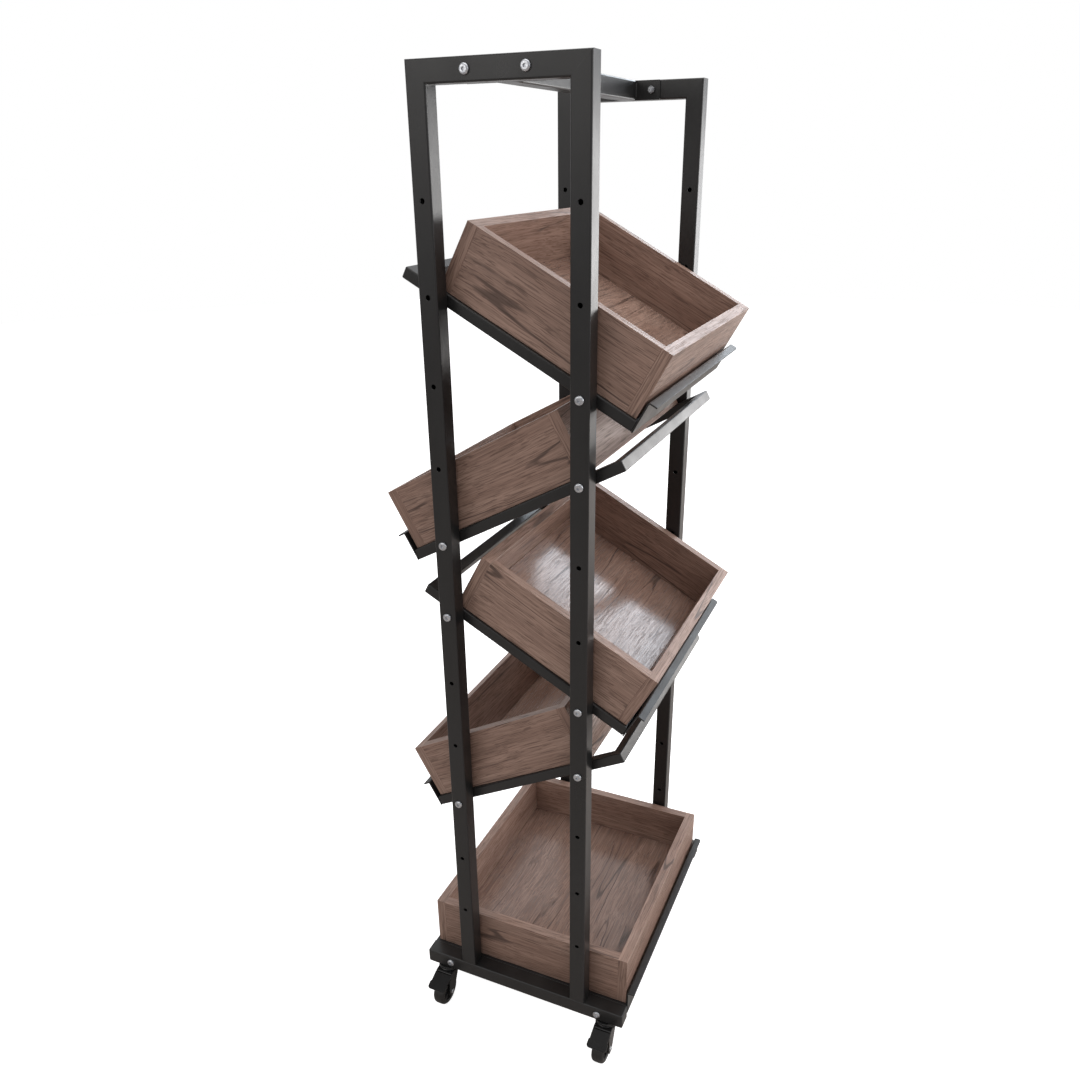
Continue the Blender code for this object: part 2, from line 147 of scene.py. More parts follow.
def round_bar(name: str, radius: float, start: Point, end: Point, sides: int = 32) -> Piece:
    """A round bar between two points.

    Args:
        name: Name of the new object.
        radius: Its radius.
        start: Middle of one end.
        end: Middle of the other end.
        sides: Faces around it.

    Returns:
        The new object.
    """
    start, end = Vector(start), Vector(end)
    run = end - start
    bpy.ops.object.select_all(action="DESELECT")
    bpy.ops.mesh.primitive_cylinder_add(
        vertices=sides, radius=radius, depth=run.length, location=(start + end) / 2,
        rotation=run.to_track_quat("Z", "Y").to_euler(),
    )
    return named(name)


def mirrored(outline: Outline) -> list[tuple[float, float]]:
    """Half of an outline, carried on by its mirror image below height 0."""
    return [*outline, *((radius, -height) for radius, height in reversed(outline) if height)]


def turned(name: str, outline: Outline, steps: int = 48) -> Piece:
    """A body turned about Z from an outline, which is spun and then closed.

    Args:
        name: Name of the new object.
        outline: Points of (radius, height), in order. The line is closed if its ends
            are off the axis.
        steps: Steps around a full turn.

    Returns:
        The new object.
    """
    points = [(radius, 0.0, height) for radius, height in outline]
    lines = [(index, index + 1) for index in range(len(points) - 1)]
    if outline[0][0] > 0 and outline[-1][0] > 0:
        lines.append((len(points) - 1, 0))
    mesh = bpy.data.meshes.new(name)
    mesh.from_pydata(points, lines, [])
    made = bpy.data.objects.new(name, mesh)
    bpy.context.scene.collection.objects.link(made)
    select(made, Pick.POINTS)
    bpy.ops.mesh.spin(steps=steps, angle=2 * math.pi, center=(0, 0, 0), axis=(0, 0, 1))
    bpy.ops.mesh.select_all(action="SELECT")
    bpy.ops.mesh.remove_doubles(threshold=1e-6)
    bpy.ops.mesh.normals_make_consistent(inside=False)
    leave()
    return made


def select(piece: Piece, kind: Pick, wanted: Callable[..., bool] | None = None) -> None:
    """Opens a piece for editing with only what is wanted selected.

    Args:
        piece: The piece to edit.
        kind: Whether points, edges or faces are picked.
        wanted: Tells if an item is picked: from its place for a point, from its two
            ends for an edge, from its middle and normal for a face. None picks all.
    """
    activate(piece)
    bpy.context.tool_settings.mesh_select_mode = kind.value
    bpy.ops.object.mode_set(mode="EDIT")
    if wanted is None:
        bpy.ops.mesh.select_all(action="SELECT")
        return
    bpy.ops.mesh.select_all(action="DESELECT")
    shape = bmesh.from_edit_mesh(piece.data)
    shape.normal_update()
    if kind is Pick.POINTS:
        found = [point for point in shape.verts if wanted(point.co)]
    elif kind is Pick.EDGES:
        found = [edge for edge in shape.edges if wanted(edge.verts[0].co, edge.verts[1].co)]
    else:
        found = [face for face in shape.faces if wanted(face.calc_center_median(), face.normal)]
    for item in found:
        item.select_set(True)
    shape.select_flush_mode()
    bmesh.update_edit_mesh(piece.data)


def leave() -> None:
    """Closes the piece that is open for editing."""
    bpy.ops.object.mode_set(mode="OBJECT")


def round_edges(piece: Piece, radius: float, segments: int, wanted: EdgeTest | None = None) -> Piece:
    """Rounds the wanted edges of a piece, or all of them, and returns it."""
    select(piece, Pick.EDGES, wanted)
    bpy.ops.mesh.bevel(offset=radius, segments=segments, affect="EDGES", clamp_overlap=True)
    leave()
    return piece


def along(axis: Axis) -> EdgeTest:
    """A test for edges that run along an axis."""
    def runs(start: Vector, end: Vector) -> bool:
        """True for an edge along the axis."""
        return abs((end - start)[axis.value]) > 0.99 * (end - start).length
    return runs


def square_on(start: Vector, end: Vector) -> bool:
    """True for an edge that runs along any one axis."""
    return max(abs(part) for part in end - start) > 0.99 * (end - start).length


def trim(piece: Piece, place: Point, normal: Point) -> Piece:
    """Cuts off what lies beyond a plane, closes the cut and returns the piece."""
    select(piece, Pick.FACES)
    bpy.ops.mesh.bisect(plane_co=place, plane_no=normal, use_fill=True, clear_outer=True, threshold=1e-7)
    leave()
    return piece


def combine(piece: Piece, tool: Piece, operation: str = "DIFFERENCE") -> Piece:
    """Cuts a tool out of a piece, or joins it on, uses the tool up and returns the piece."""
    activate(piece)
    step = piece.modifiers.new("combine", "BOOLEAN")
    step.operation = operation
    step.solver = "EXACT"
    step.object = tool
    bpy.ops.object.modifier_apply(modifier=step.name)
    bpy.data.objects.remove(tool)
    return piece


def soften(piece: Piece, width: float, segments: int = 2, angle: float = 50.0) -> Piece:
    """Rounds every edge of a piece that is sharper than an angle in degrees."""
    activate(piece)
    step = piece.modifiers.new("soften", "BEVEL")
    step.width = width
    step.segments = segments
    step.limit_method = "ANGLE"
    step.angle_limit = math.radians(angle)
    bpy.ops.object.modifier_apply(modifier=step.name)
    return piece


def smooth(piece: Piece, angle: float = 35.0) -> Piece:
    """Shades a piece smooth across edges flatter than an angle in degrees, with its flats kept flat."""
    activate(piece)
    bpy.ops.object.shade_smooth_by_angle(angle=math.radians(angle))
    step = piece.modifiers.new("flats", "WEIGHTED_NORMAL")
    step.keep_sharp = True
    bpy.ops.object.modifier_apply(modifier=step.name)
    return piece


def join(pieces: Sequence[Piece]) -> Piece:
    """Joins separate pieces into the first one, and returns it."""
    bpy.ops.object.select_all(action="DESELECT")
    for piece in pieces:
        piece.select_set(True)
    bpy.context.view_layer.objects.active = pieces[0]
    bpy.ops.object.join()
    return pieces[0]


def copy(master: Piece, name: str, place: Matrix) -> Piece:
    """A copy of a settled piece, with its own mesh, moved and turned into place."""
    activate(master)
    bpy.ops.object.duplicate()
    made = bpy.context.view_layer.objects.active
    made.matrix_world = place
    return named(name)


def discard(*pieces: Piece) -> None:
    """Removes masters that have been copied."""
    for piece in pieces:
        bpy.data.objects.remove(piece)


def middle(node: str) -> Vector:
    """The middle of a CAD node's box."""
    low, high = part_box(node)
    return (low + high) / 2


def fit(
    piece: Piece, finishes: Sequence[Material], body: str, nodes: Sequence[str] = (),
) -> None:
    """Dresses a finished piece, puts it on its body and reports it.

    Args:
        piece: The piece, settled.
        finishes: Its materials, in the order of its material slots.
        body: The CAD body that it moves with.
        nodes: CAD nodes that it stands for.
    """
    piece.data.materials.clear()
    for finish in finishes:
        piece.data.materials.append(finish)
    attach(piece, body)
    if nodes:
        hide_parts(*nodes)
    log.info("%s rides on %s, %d faces", piece.name, body, len(piece.data.polygons))


# ---------------------------------------------------------------- shader building
class Graph:
    """A node tree, with a short way to add nodes and wire them."""

    def __init__(self, tree: Tree) -> None:
        """Starts on a node tree that exists."""
        self.tree = tree

    def add(self, kind: str, sockets: dict | None = None, **settings: object) -> Node:
        """Adds a node.

        Args:
            kind: The node's type, without the "ShaderNode" in front.
            sockets: Values or outlets for its inlets, by name or number.
            settings: Its own settings.

        Returns:
            The node.
        """
        node = self.tree.nodes.new(f"ShaderNode{kind}")
        for name, value in settings.items():
            setattr(node, name, value)
        for name, value in (sockets or {}).items():
            self.feed(node.inputs[name], value)
        return node

    def feed(self, inlet: Socket, value: object) -> None:
        """Wires an outlet to an inlet, or sets the inlet's value. Colours are opaque."""
        if isinstance(value, Socket):
            self.tree.links.new(value, inlet)
        elif inlet.type == "RGBA":
            inlet.default_value = (*value, 1.0)
        else:
            inlet.default_value = value

    def math(self, operation: str, first: object, second: object = 0.0, clamp: bool = False) -> Socket:
        """The result of a sum on two numbers."""
        node = self.add("Math", {0: first, 1: second}, operation=operation, use_clamp=clamp)
        return node.outputs[0]

    def stretch(self, vector: object, factors: Point) -> Socket:
        """A vector with each part multiplied by its own factor."""
        node = self.add("VectorMath", {0: vector, 1: factors}, operation="MULTIPLY")
        return node.outputs[0]

    def noise(self, vector: object, factors: Point, detail: float = 3.0, roughness: float = 0.55) -> Socket:
        """Noise around 0.5 at a vector, as fine in each direction as its factor says."""
        place = self.stretch(vector, factors)
        sockets = {"Vector": place, "Scale": 1.0, "Detail": detail, "Roughness": roughness}
        return self.add("TexNoise", sockets).outputs["Fac"]

    def spread(
        self, value: object, low: float, high: float, to_low: float = 0.0, to_high: float = 1.0,
    ) -> Socket:
        """A value moved smoothly from one range to another."""
        sockets = {"Value": value, "From Min": low, "From Max": high, "To Min": to_low, "To Max": to_high}
        return self.add("MapRange", sockets, interpolation_type="SMOOTHSTEP").outputs["Result"]

    def mix(self, share: object, first: object, second: object) -> Socket:
        """Two colours, mixed by a share."""
        node = self.add("Mix", data_type="RGBA", clamp_factor=True)
        self.feed(node.inputs[0], share)
        self.feed(node.inputs[6], first)
        self.feed(node.inputs[7], second)
        return node.outputs[2]

    def effect(self, tree: Tree, **values: object) -> Node:
        """Adds a shared effect, with its own values."""
        node = self.add("Group")
        node.node_tree = tree
        for name, value in values.items():
            self.feed(node.inputs[name], value)
        return node

    def share(self, value: object, factor: object, clamp: bool = False) -> Socket:
        """A share of a value: the two multiplied."""
        return self.math("MULTIPLY", value, factor, clamp)

    def emboss(self, shader: Node, height: object, strength: float, depth: float) -> None:
        """Gives a shader's surface a relief of a depth in metres."""
        relief = self.add("Bump", {"Strength": strength, "Distance": depth, "Height": height})
        self.feed(shader.inputs["Normal"], relief.outputs["Normal"])


def new_effect(name: str, inlets: dict[str, str], outlets: dict[str, str]) -> tuple[Graph, Node, Node]:
    """Starts the node group of a shared effect.

    Args:
        name: The group's name.
        inlets: Its inputs, each with its kind of socket.
        outlets: Its outputs, each with its kind of socket.

    Returns:
        The group's graph, its input node and its output node.
    """
    tree = bpy.data.node_groups.new(name, "ShaderNodeTree")
    for label, kind in inlets.items():
        tree.interface.new_socket(label, in_out="INPUT", socket_type=f"NodeSocket{kind}")
    for label, kind in outlets.items():
        tree.interface.new_socket(label, in_out="OUTPUT", socket_type=f"NodeSocket{kind}")
    return Graph(tree), tree.nodes.new("NodeGroupInput"), tree.nodes.new("NodeGroupOutput")


@functools.cache
def wood_grain() -> Tree:
    """The grain of a board that runs along X: tone, streaks, pores and dark lines, from 0 to 1."""
    graph, given, out = new_effect(
        "wood_grain", {"Vector": "Vector", "Seed": "Float", "Figure": "Float"},
        {"Tone": "Float", "Streak": "Float", "Pore": "Float", "Line": "Float", "Flame": "Float"},
    )
    runs = {"X": 1.7, "Y": 0.93, "Z": 0.61}
    shifts = {label: graph.share(given.outputs["Seed"], run) for label, run in runs.items()}
    offset = graph.add("CombineXYZ", shifts).outputs[0]
    start = graph.add("VectorMath", {0: given.outputs["Vector"], 1: offset}, operation="ADD").outputs[0]
    wander = graph.noise(start, (3.0, 8.0, 8.0), detail=2.0)
    ripple = graph.noise(start, (16.0, 26.0, 26.0), detail=2.0)
    shift = graph.math("ADD", graph.share(graph.math("SUBTRACT", wander, 0.5), 0.026),
                       graph.share(graph.math("SUBTRACT", ripple, 0.5), 0.0028))
    shift = graph.share(shift, given.outputs["Figure"])
    sideways = graph.add("CombineXYZ", {"X": 0.0, "Y": shift, "Z": shift}).outputs[0]
    bent = graph.add("VectorMath", {0: start, 1: sideways}, operation="ADD").outputs[0]
    tone = graph.noise(bent, (2.0, 22.0, 22.0), detail=4.0)
    streak = graph.noise(bent, (6.0, 430.0, 430.0), detail=4.0, roughness=0.6)
    pore = graph.noise(bent, (26.0, 820.0, 820.0), detail=1.0)
    ridge = graph.noise(bent, (1.3, 26.0, 26.0), detail=1.0)
    line = graph.spread(graph.math("ABSOLUTE", graph.math("SUBTRACT", ridge, 0.5)), 0.004, 0.014, 1.0, 0.0)
    where = graph.spread(graph.noise(start, (6.0, 20.0, 20.0)), 0.44, 0.58)
    flame = graph.add("TexWave", {
        "Vector": graph.stretch(bent, (1.6, 11.0, 11.0)), "Scale": 2.4, "Distortion": 3.2, "Detail": 2.0,
        "Detail Scale": 0.9, "Detail Roughness": 0.5,
    }, wave_type="BANDS", bands_direction="DIAGONAL", wave_profile="SIN").outputs["Fac"]
    graph.feed(out.inputs["Tone"], graph.spread(tone, 0.28, 0.72))
    graph.feed(out.inputs["Streak"], graph.spread(streak, 0.34, 0.66))
    graph.feed(out.inputs["Pore"], graph.spread(pore, 0.54, 0.62))
    graph.feed(out.inputs["Line"], graph.share(line, where))
    graph.feed(out.inputs["Flame"], flame)
    return graph.tree


@functools.cache
def edge_wear() -> Tree:
    """A mask of rubbed edges, from 0 to 1, within a radius of each edge."""
    graph, given, out = new_effect("edge_wear", {"Vector": "Vector", "Amount": "Float"}, {"Mask": "Float"})
    rounded = graph.add("Bevel", {"Radius": WEAR_REACH}, samples=4).outputs["Normal"]
    flat = graph.add("NewGeometry").outputs["Normal"]
    match = graph.add("VectorMath", {0: rounded, 1: flat}, operation="DOT_PRODUCT").outputs["Value"]
    edge = graph.spread(match, 0.70, 0.995, 1.0, 0.0)
    patch = graph.spread(graph.noise(given.outputs["Vector"], (38.0, 38.0, 38.0), detail=4.0), 0.40, 0.66)
    mask = graph.share(graph.share(edge, patch), given.outputs["Amount"], clamp=True)
    graph.feed(out.inputs["Mask"], mask)
    return graph.tree


@functools.cache
def dust() -> Tree:
    """A mask of thin dust on what faces up, from 0 to 1."""
    graph, given, out = new_effect("dust", {"Vector": "Vector", "Amount": "Float"}, {"Mask": "Float"})
    normal = graph.add("NewGeometry").outputs["Normal"]
    height = graph.add("SeparateXYZ", {0: normal}).outputs["Z"]
    upward = graph.spread(height, 0.2, 0.95)
    cloud = graph.spread(graph.noise(given.outputs["Vector"], (16.0, 16.0, 16.0), detail=5.0), 0.32, 0.72)
    mask = graph.share(graph.share(upward, cloud), given.outputs["Amount"], clamp=True)
    graph.feed(out.inputs["Mask"], mask)
    return graph.tree


@functools.cache
def fine_texture() -> Tree:
    """The height of a sprayed or moulded surface, and a slow mottle, both around 0.5."""
    graph, given, out = new_effect(
        "fine_texture", {"Vector": "Vector", "Grains": "Float"}, {"Height": "Float", "Mottle": "Float"},
    )
    fine = graph.add("TexNoise", {
        "Vector": given.outputs["Vector"], "Scale": given.outputs["Grains"], "Detail": 3.0,
    })
    mottle = graph.noise(given.outputs["Vector"], (24.0, 24.0, 9.0), detail=3.0)
    graph.feed(out.inputs["Height"], fine.outputs["Fac"])
    graph.feed(out.inputs["Mottle"], mottle)
    return graph.tree


def start_material(name: str) -> tuple[Material, Graph, Node, Socket]:
    """A new material with its graph, its Principled shader and the object's coordinates."""
    made = bpy.data.materials.new(name)
    made.use_nodes = True
    graph = Graph(made.node_tree)
    shader = made.node_tree.nodes["Principled BSDF"]
    place = graph.add("TexCoord").outputs["Object"]
    return made, graph, shader, place


@dataclass(frozen=True)
class Coating:
    """A painted, sprayed or moulded surface with fine texture, rubbed edges and dust."""

    name: str
    colour: Triple
    rubbed: Triple
    roughness: float
    grains: float
    bump: float
    wear: float
    dustiness: float
    coat: float = 0.0
    gloss: float = 0.5
    coat_roughness: float = 0.12
    shaded: float = 0.82
    dust_colour: Triple = (0.34, 0.33, 0.31)

    @functools.cache
    def build(self) -> Material:
        """Builds the material once, and returns it."""
        made, graph, shader, place = start_material(self.name)
        skin = graph.effect(fine_texture(), Vector=place, Grains=self.grains)
        worn = graph.effect(edge_wear(), Vector=place, Amount=self.wear).outputs["Mask"]
        dusty = graph.effect(dust(), Vector=place, Amount=self.dustiness).outputs["Mask"]
        shade = graph.spread(skin.outputs["Mottle"], 0.3, 0.7)
        base = graph.mix(shade, [part * self.shaded for part in self.colour], self.colour)
        base = graph.mix(worn, base, self.rubbed)
        base = graph.mix(dusty, base, self.dust_colour)
        graph.feed(shader.inputs["Base Color"], base)
        rough = graph.spread(skin.outputs["Mottle"], 0.25, 0.75, self.roughness - 0.04, self.roughness + 0.05)
        rough = graph.math("ADD", rough, graph.share(dusty, 0.5), clamp=True)
        graph.feed(shader.inputs["Roughness"], rough)
        shader.inputs["Specular IOR Level"].default_value = self.gloss
        if self.coat:
            shader.inputs["Coat Weight"].default_value = self.coat
            shader.inputs["Coat Roughness"].default_value = self.coat_roughness
        graph.emboss(shader, skin.outputs["Height"], self.bump, 0.0003)
        return made


@dataclass(frozen=True)
class ZincPlate:
    """Bright zinc plate, faintly clouded and scratched."""

    name: str = "zinc_plate"
    bright: Triple = (0.66, 0.68, 0.71)
    clouded: Triple = (0.44, 0.46, 0.50)
    roughness: float = 0.24
    rubbed: Triple = (0.80, 0.80, 0.80)

    @functools.cache
    def build(self) -> Material:
        """Builds the material once, and returns it."""
        made, graph, shader, place = start_material(self.name)
        cloud = graph.spread(graph.noise(place, (420.0, 420.0, 420.0), detail=4.0), 0.35, 0.7)
        scratch = graph.spread(graph.noise(place, (2600.0, 300.0, 900.0), detail=2.0), 0.56, 0.7)
        worn = graph.effect(edge_wear(), Vector=place, Amount=0.6).outputs["Mask"]
        base = graph.mix(worn, graph.mix(cloud, self.bright, self.clouded), self.rubbed)
        graph.feed(shader.inputs["Base Color"], base)
        shader.inputs["Metallic"].default_value = 1.0
        rough = graph.math("ADD", graph.spread(cloud, 0.0, 1.0, self.roughness, self.roughness + 0.14),
                           graph.share(scratch, 0.12), clamp=True)
        graph.feed(shader.inputs["Roughness"], rough)
        graph.emboss(shader, scratch, 0.25, 0.00005)
        return made


@dataclass(frozen=True)
class Laminate:
    """Brown-grey wood-grain laminate, or its edge band, on one board.

    The pattern is read in the board's own frame: place and turn take it there, and
    grain is the board's axis that the grain follows.
    """

    name: str
    place: Triple
    turn: Triple
    grain: Axis
    seed: float
    figure: float
    roughness: float
    gloss: float
    dark: Triple = (0.108, 0.063, 0.046)
    body: Triple = (0.300, 0.186, 0.144)
    light: Triple = (0.445, 0.298, 0.238)
    vein: Triple = (0.055, 0.033, 0.026)
    rubbed: Triple = (0.40, 0.30, 0.25)
    dusted: Triple = (0.42, 0.38, 0.35)

    def build(self) -> Material:
        """Builds the material, and returns it."""
        made, graph, shader, place = start_material(self.name)
        where = {"Vector": place, "Location": self.place, "Rotation": self.turn}
        local = graph.add("Mapping", where, vector_type="TEXTURE")
        parts = graph.add("SeparateXYZ", {0: local.outputs[0]}).outputs
        first = self.grain.value
        turned_parts = {label: parts[(first + step) % 3] for step, label in enumerate("XYZ")}
        along_grain = graph.add("CombineXYZ", turned_parts).outputs[0]
        wood = graph.effect(wood_grain(), Vector=along_grain, Seed=self.seed, Figure=self.figure)
        base = graph.mix(wood.outputs["Tone"], self.body, self.light)
        base = graph.mix(graph.share(wood.outputs["Flame"], 0.20), base, self.body)
        streak = graph.spread(wood.outputs["Streak"], 0.0, 1.0, 0.40, 0.0)
        base = graph.mix(streak, base, self.dark)
        base = graph.mix(graph.share(wood.outputs["Pore"], 0.60), base, self.dark)
        base = graph.mix(graph.share(wood.outputs["Line"], 0.74), base, self.vein)
        worn = graph.effect(edge_wear(), Vector=place, Amount=0.45).outputs["Mask"]
        base = graph.mix(worn, base, self.rubbed)
        dusty = graph.effect(dust(), Vector=place, Amount=0.10).outputs["Mask"]
        base = graph.mix(dusty, base, self.dusted)
        graph.feed(shader.inputs["Base Color"], base)
        rough = graph.spread(wood.outputs["Streak"], 0.0, 1.0, self.roughness + 0.06, self.roughness - 0.02)
        rough = graph.math("ADD", rough, graph.share(wood.outputs["Pore"], 0.10), clamp=True)
        graph.feed(shader.inputs["Roughness"], rough)
        shader.inputs["Specular IOR Level"].default_value = self.gloss
        height = graph.math("SUBTRACT", wood.outputs["Streak"], wood.outputs["Pore"])
        graph.emboss(shader, height, 0.08, 0.00008)
        return made


POWDER_COAT = Coating(
    "satin_powder_coat", colour=(0.0150, 0.0152, 0.0156), rubbed=(0.055, 0.055, 0.057), roughness=0.31,
    grains=1100.0, bump=0.16, wear=0.5, dustiness=0.035,
)
PRESSED_STEEL = Coating(
    "black_pressed_steel", colour=(0.0090, 0.0090, 0.0095), rubbed=(0.190, 0.190, 0.195), roughness=0.24,
    grains=1500.0, bump=0.10, wear=0.9, dustiness=0.03, coat=0.3, gloss=0.3,
)
TREAD_RUBBER = Coating(
    "tread_rubber", colour=(0.0130, 0.0128, 0.0125), rubbed=(0.110, 0.104, 0.098), roughness=0.34,
    grains=1900.0, bump=0.25, wear=0.7, dustiness=0.14,
)
CORE_NYLON = Coating(
    "wheel_core_nylon", colour=(0.0120, 0.0120, 0.0125), rubbed=(0.045, 0.045, 0.046), roughness=0.30,
    grains=1400.0, bump=0.12, wear=0.6, dustiness=0.05,
)
PEDAL_NYLON = Coating(
    "pedal_nylon", colour=(0.0085, 0.0085, 0.0088), rubbed=(0.055, 0.052, 0.048), roughness=0.24,
    grains=1600.0, bump=0.14, wear=0.8, dustiness=0.02, gloss=0.22,
)
ZINC = ZincPlate()
NUT_ZINC = ZincPlate(
    "dull_nut_zinc", bright=(0.36, 0.37, 0.39), clouded=(0.22, 0.23, 0.25), roughness=0.38,
)


def fit_steel(piece: Piece, *nodes: str) -> None:
    """Smooths a piece of the black steelwork and fits it to the frame, in place of nodes."""
    fit(smooth(piece), [POWDER_COAT.build()], "frame", nodes)


# ---------------------------------------------------------------- end frames
@dataclass
class EndFrame:
    """A welded end frame of square tube: two drilled uprights, a top bar and a foot bar."""

    end_name: str
    end: int
    tube: float = 0.025
    wall: float = 0.0015
    corner: float = 0.0022
    hole_count: int = 11
    hole_pitch: float = 0.1065
    top_hole_drop: float = 0.1425
    hole_radius: float = 0.0031
    flare: float = 0.0004
    flare_growth: float = 1.10
    drill_run: float = 0.004
    stem_hole: float = 0.0058

    def drills(self, places: Sequence[Vector]) -> Piece:
        """One tool that drills all the places through a tube along Y, with eased rims."""
        half = self.tube / 2
        reach = half - self.flare
        master = round_bar("drill", self.hole_radius, (0, -reach, 0), (0, reach, 0), 28)
        for side in (-1, 1):
            select(master, Pick.FACES, lambda centre, normal: normal.y * side > 0.9)
            for run, growth in ((self.flare, self.flare_growth), (self.drill_run, 1.0)):
                bpy.ops.mesh.extrude_region_move(TRANSFORM_OT_translate={"value": (0, side * run, 0)})
                bpy.ops.transform.resize(value=(growth, 1, growth), center_override=(0, side * half, 0))
            leave()
        moves = [Matrix.Translation(place) for place in places]
        tools = [copy(master, f"drill_{number}", move) for number, move in enumerate(moves)]
        discard(master)
        return join(tools)

    def bar(self, name: str, low: Vector, high: Vector, axis: Axis) -> Piece:
        """A length of tube stock, still solid, with its long edges rounded."""
        return round_edges(block(name, low, high), self.corner, 4, along(axis))

    def hollow(self, bar: Piece, low: Vector, high: Vector, axis: Axis, past: float) -> None:
        """Bores a bar out to its wall, and past its ends by a length (short of them if negative)."""
        inset = Vector((self.wall, self.wall, self.wall))
        inset[axis.value] = -past
        bore = round_edges(block("bore", low + inset, high - inset), self.corner - self.wall, 2, along(axis))
        combine(bar, bore)

    def upright(self, side_name: str, side: int) -> None:
        """Builds a drilled upright, mitred under the top bar."""
        node = f"{self.end_name}_{side_name}_upright"
        low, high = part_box(node)
        high.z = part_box(f"{self.end_name}_top_bar")[1].z
        made = self.bar(f"{self.end_name}_{side_name}_post", low, high, Axis.Z)
        trim(made, (low.x if side < 0 else high.x, 0, high.z), (-side, 0, 1))
        self.hollow(made, low, high, Axis.Z, self.wall * 4)
        x, y = middle(node).xy
        top = high.z - self.top_hole_drop
        heights = [top - number * self.hole_pitch for number in range(self.hole_count)]
        combine(made, self.drills([Vector((x, y, height)) for height in heights]))
        fit_steel(made, node)

    def top_bar(self) -> None:
        """Builds the top bar, mitred at both ends, with its two bolt holes."""
        node = f"{self.end_name}_top_bar"
        low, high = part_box(node)
        low.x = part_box(f"{self.end_name}_left_upright")[0].x
        high.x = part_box(f"{self.end_name}_right_upright")[1].x
        made = self.bar(f"{self.end_name}_head_bar", low, high, Axis.X)
        for side in (-1, 1):
            trim(made, (low.x if side < 0 else high.x, 0, high.z), (side, 0, -1))
        self.hollow(made, low, high, Axis.X, self.wall * 4)
        bolts = [middle(f"{self.end_name}_spreader_bolt_{side_name}") for side_name, _ in LEFT_RIGHT]
        combine(made, self.drills([Vector((bolt.x, (low.y + high.y) / 2, bolt.z)) for bolt in bolts]))
        fit_steel(made, node)

    def foot_bar(self) -> None:
        """Builds the foot bar, closed at both ends, with bolt holes and stem holes."""
        node = f"{self.end_name}_bottom_bar"
        low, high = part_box(node)
        y = (low.y + high.y) / 2
        made = round_edges(block(f"{self.end_name}_foot_bar", low, high), self.corner, 4)
        self.hollow(made, low, high, Axis.X, -self.wall)
        bolts = [middle(f"{self.end_name}_base_bolt_{side_name}") for side_name, _ in LEFT_RIGHT]
        combine(made, self.drills([Vector((bolt.x, y, bolt.z)) for bolt in bolts]))
        for side_name, _ in LEFT_RIGHT:
            x = middle(f"{self.end_name}_{side_name}_mount").x
            start, end = (x, y, low.z - self.wall), (x, y, low.z + 2 * self.wall)
            combine(made, round_bar("stem_drill", self.stem_hole, start, end))
        fit_steel(made, node)

    def build(self) -> None:
        """Builds the whole end frame."""
        for side_name, side in LEFT_RIGHT:
            self.upright(side_name, side)
        self.top_bar()
        self.foot_bar()


@dataclass
class WeldBead:
    """A short rippled weld bead, modelled once along Z and copied."""

    radius: float = 0.0017
    step: float = 0.0013
    ripples: int = 9
    start_size: float = 0.55
    swell: float = 1.75
    waist: float = 0.86

    def master(self) -> Piece:
        """The bead, centred on the origin."""
        length = self.step * self.ripples
        start, end = (0, 0, -length / 2 - self.step), (0, 0, -length / 2)
        bead = round_bar("bead", self.radius * self.start_size, start, end, 12)
        select(bead, Pick.FACES, lambda centre, normal: normal.z > 0.9)
        for number in range(self.ripples):
            growth = self.swell if number == 0 else (self.waist if number % 2 else 1 / self.waist)
            bpy.ops.mesh.extrude_region_move(TRANSFORM_OT_translate={"value": (0, 0, self.step)})
            bpy.ops.transform.resize(value=(growth, growth, 1), center_override=(0, 0, 0))
        leave()
        return smooth(bead, 70.0)

    def run(self, name: str, places: Sequence[Matrix]) -> Piece:
        """Lays a bead at each place, and returns them as one piece."""
        master = self.master()
        beads = [copy(master, f"{name}_{number}", place) for number, place in enumerate(places)]
        discard(master)
        made = join(beads)
        made.name = name
        return made


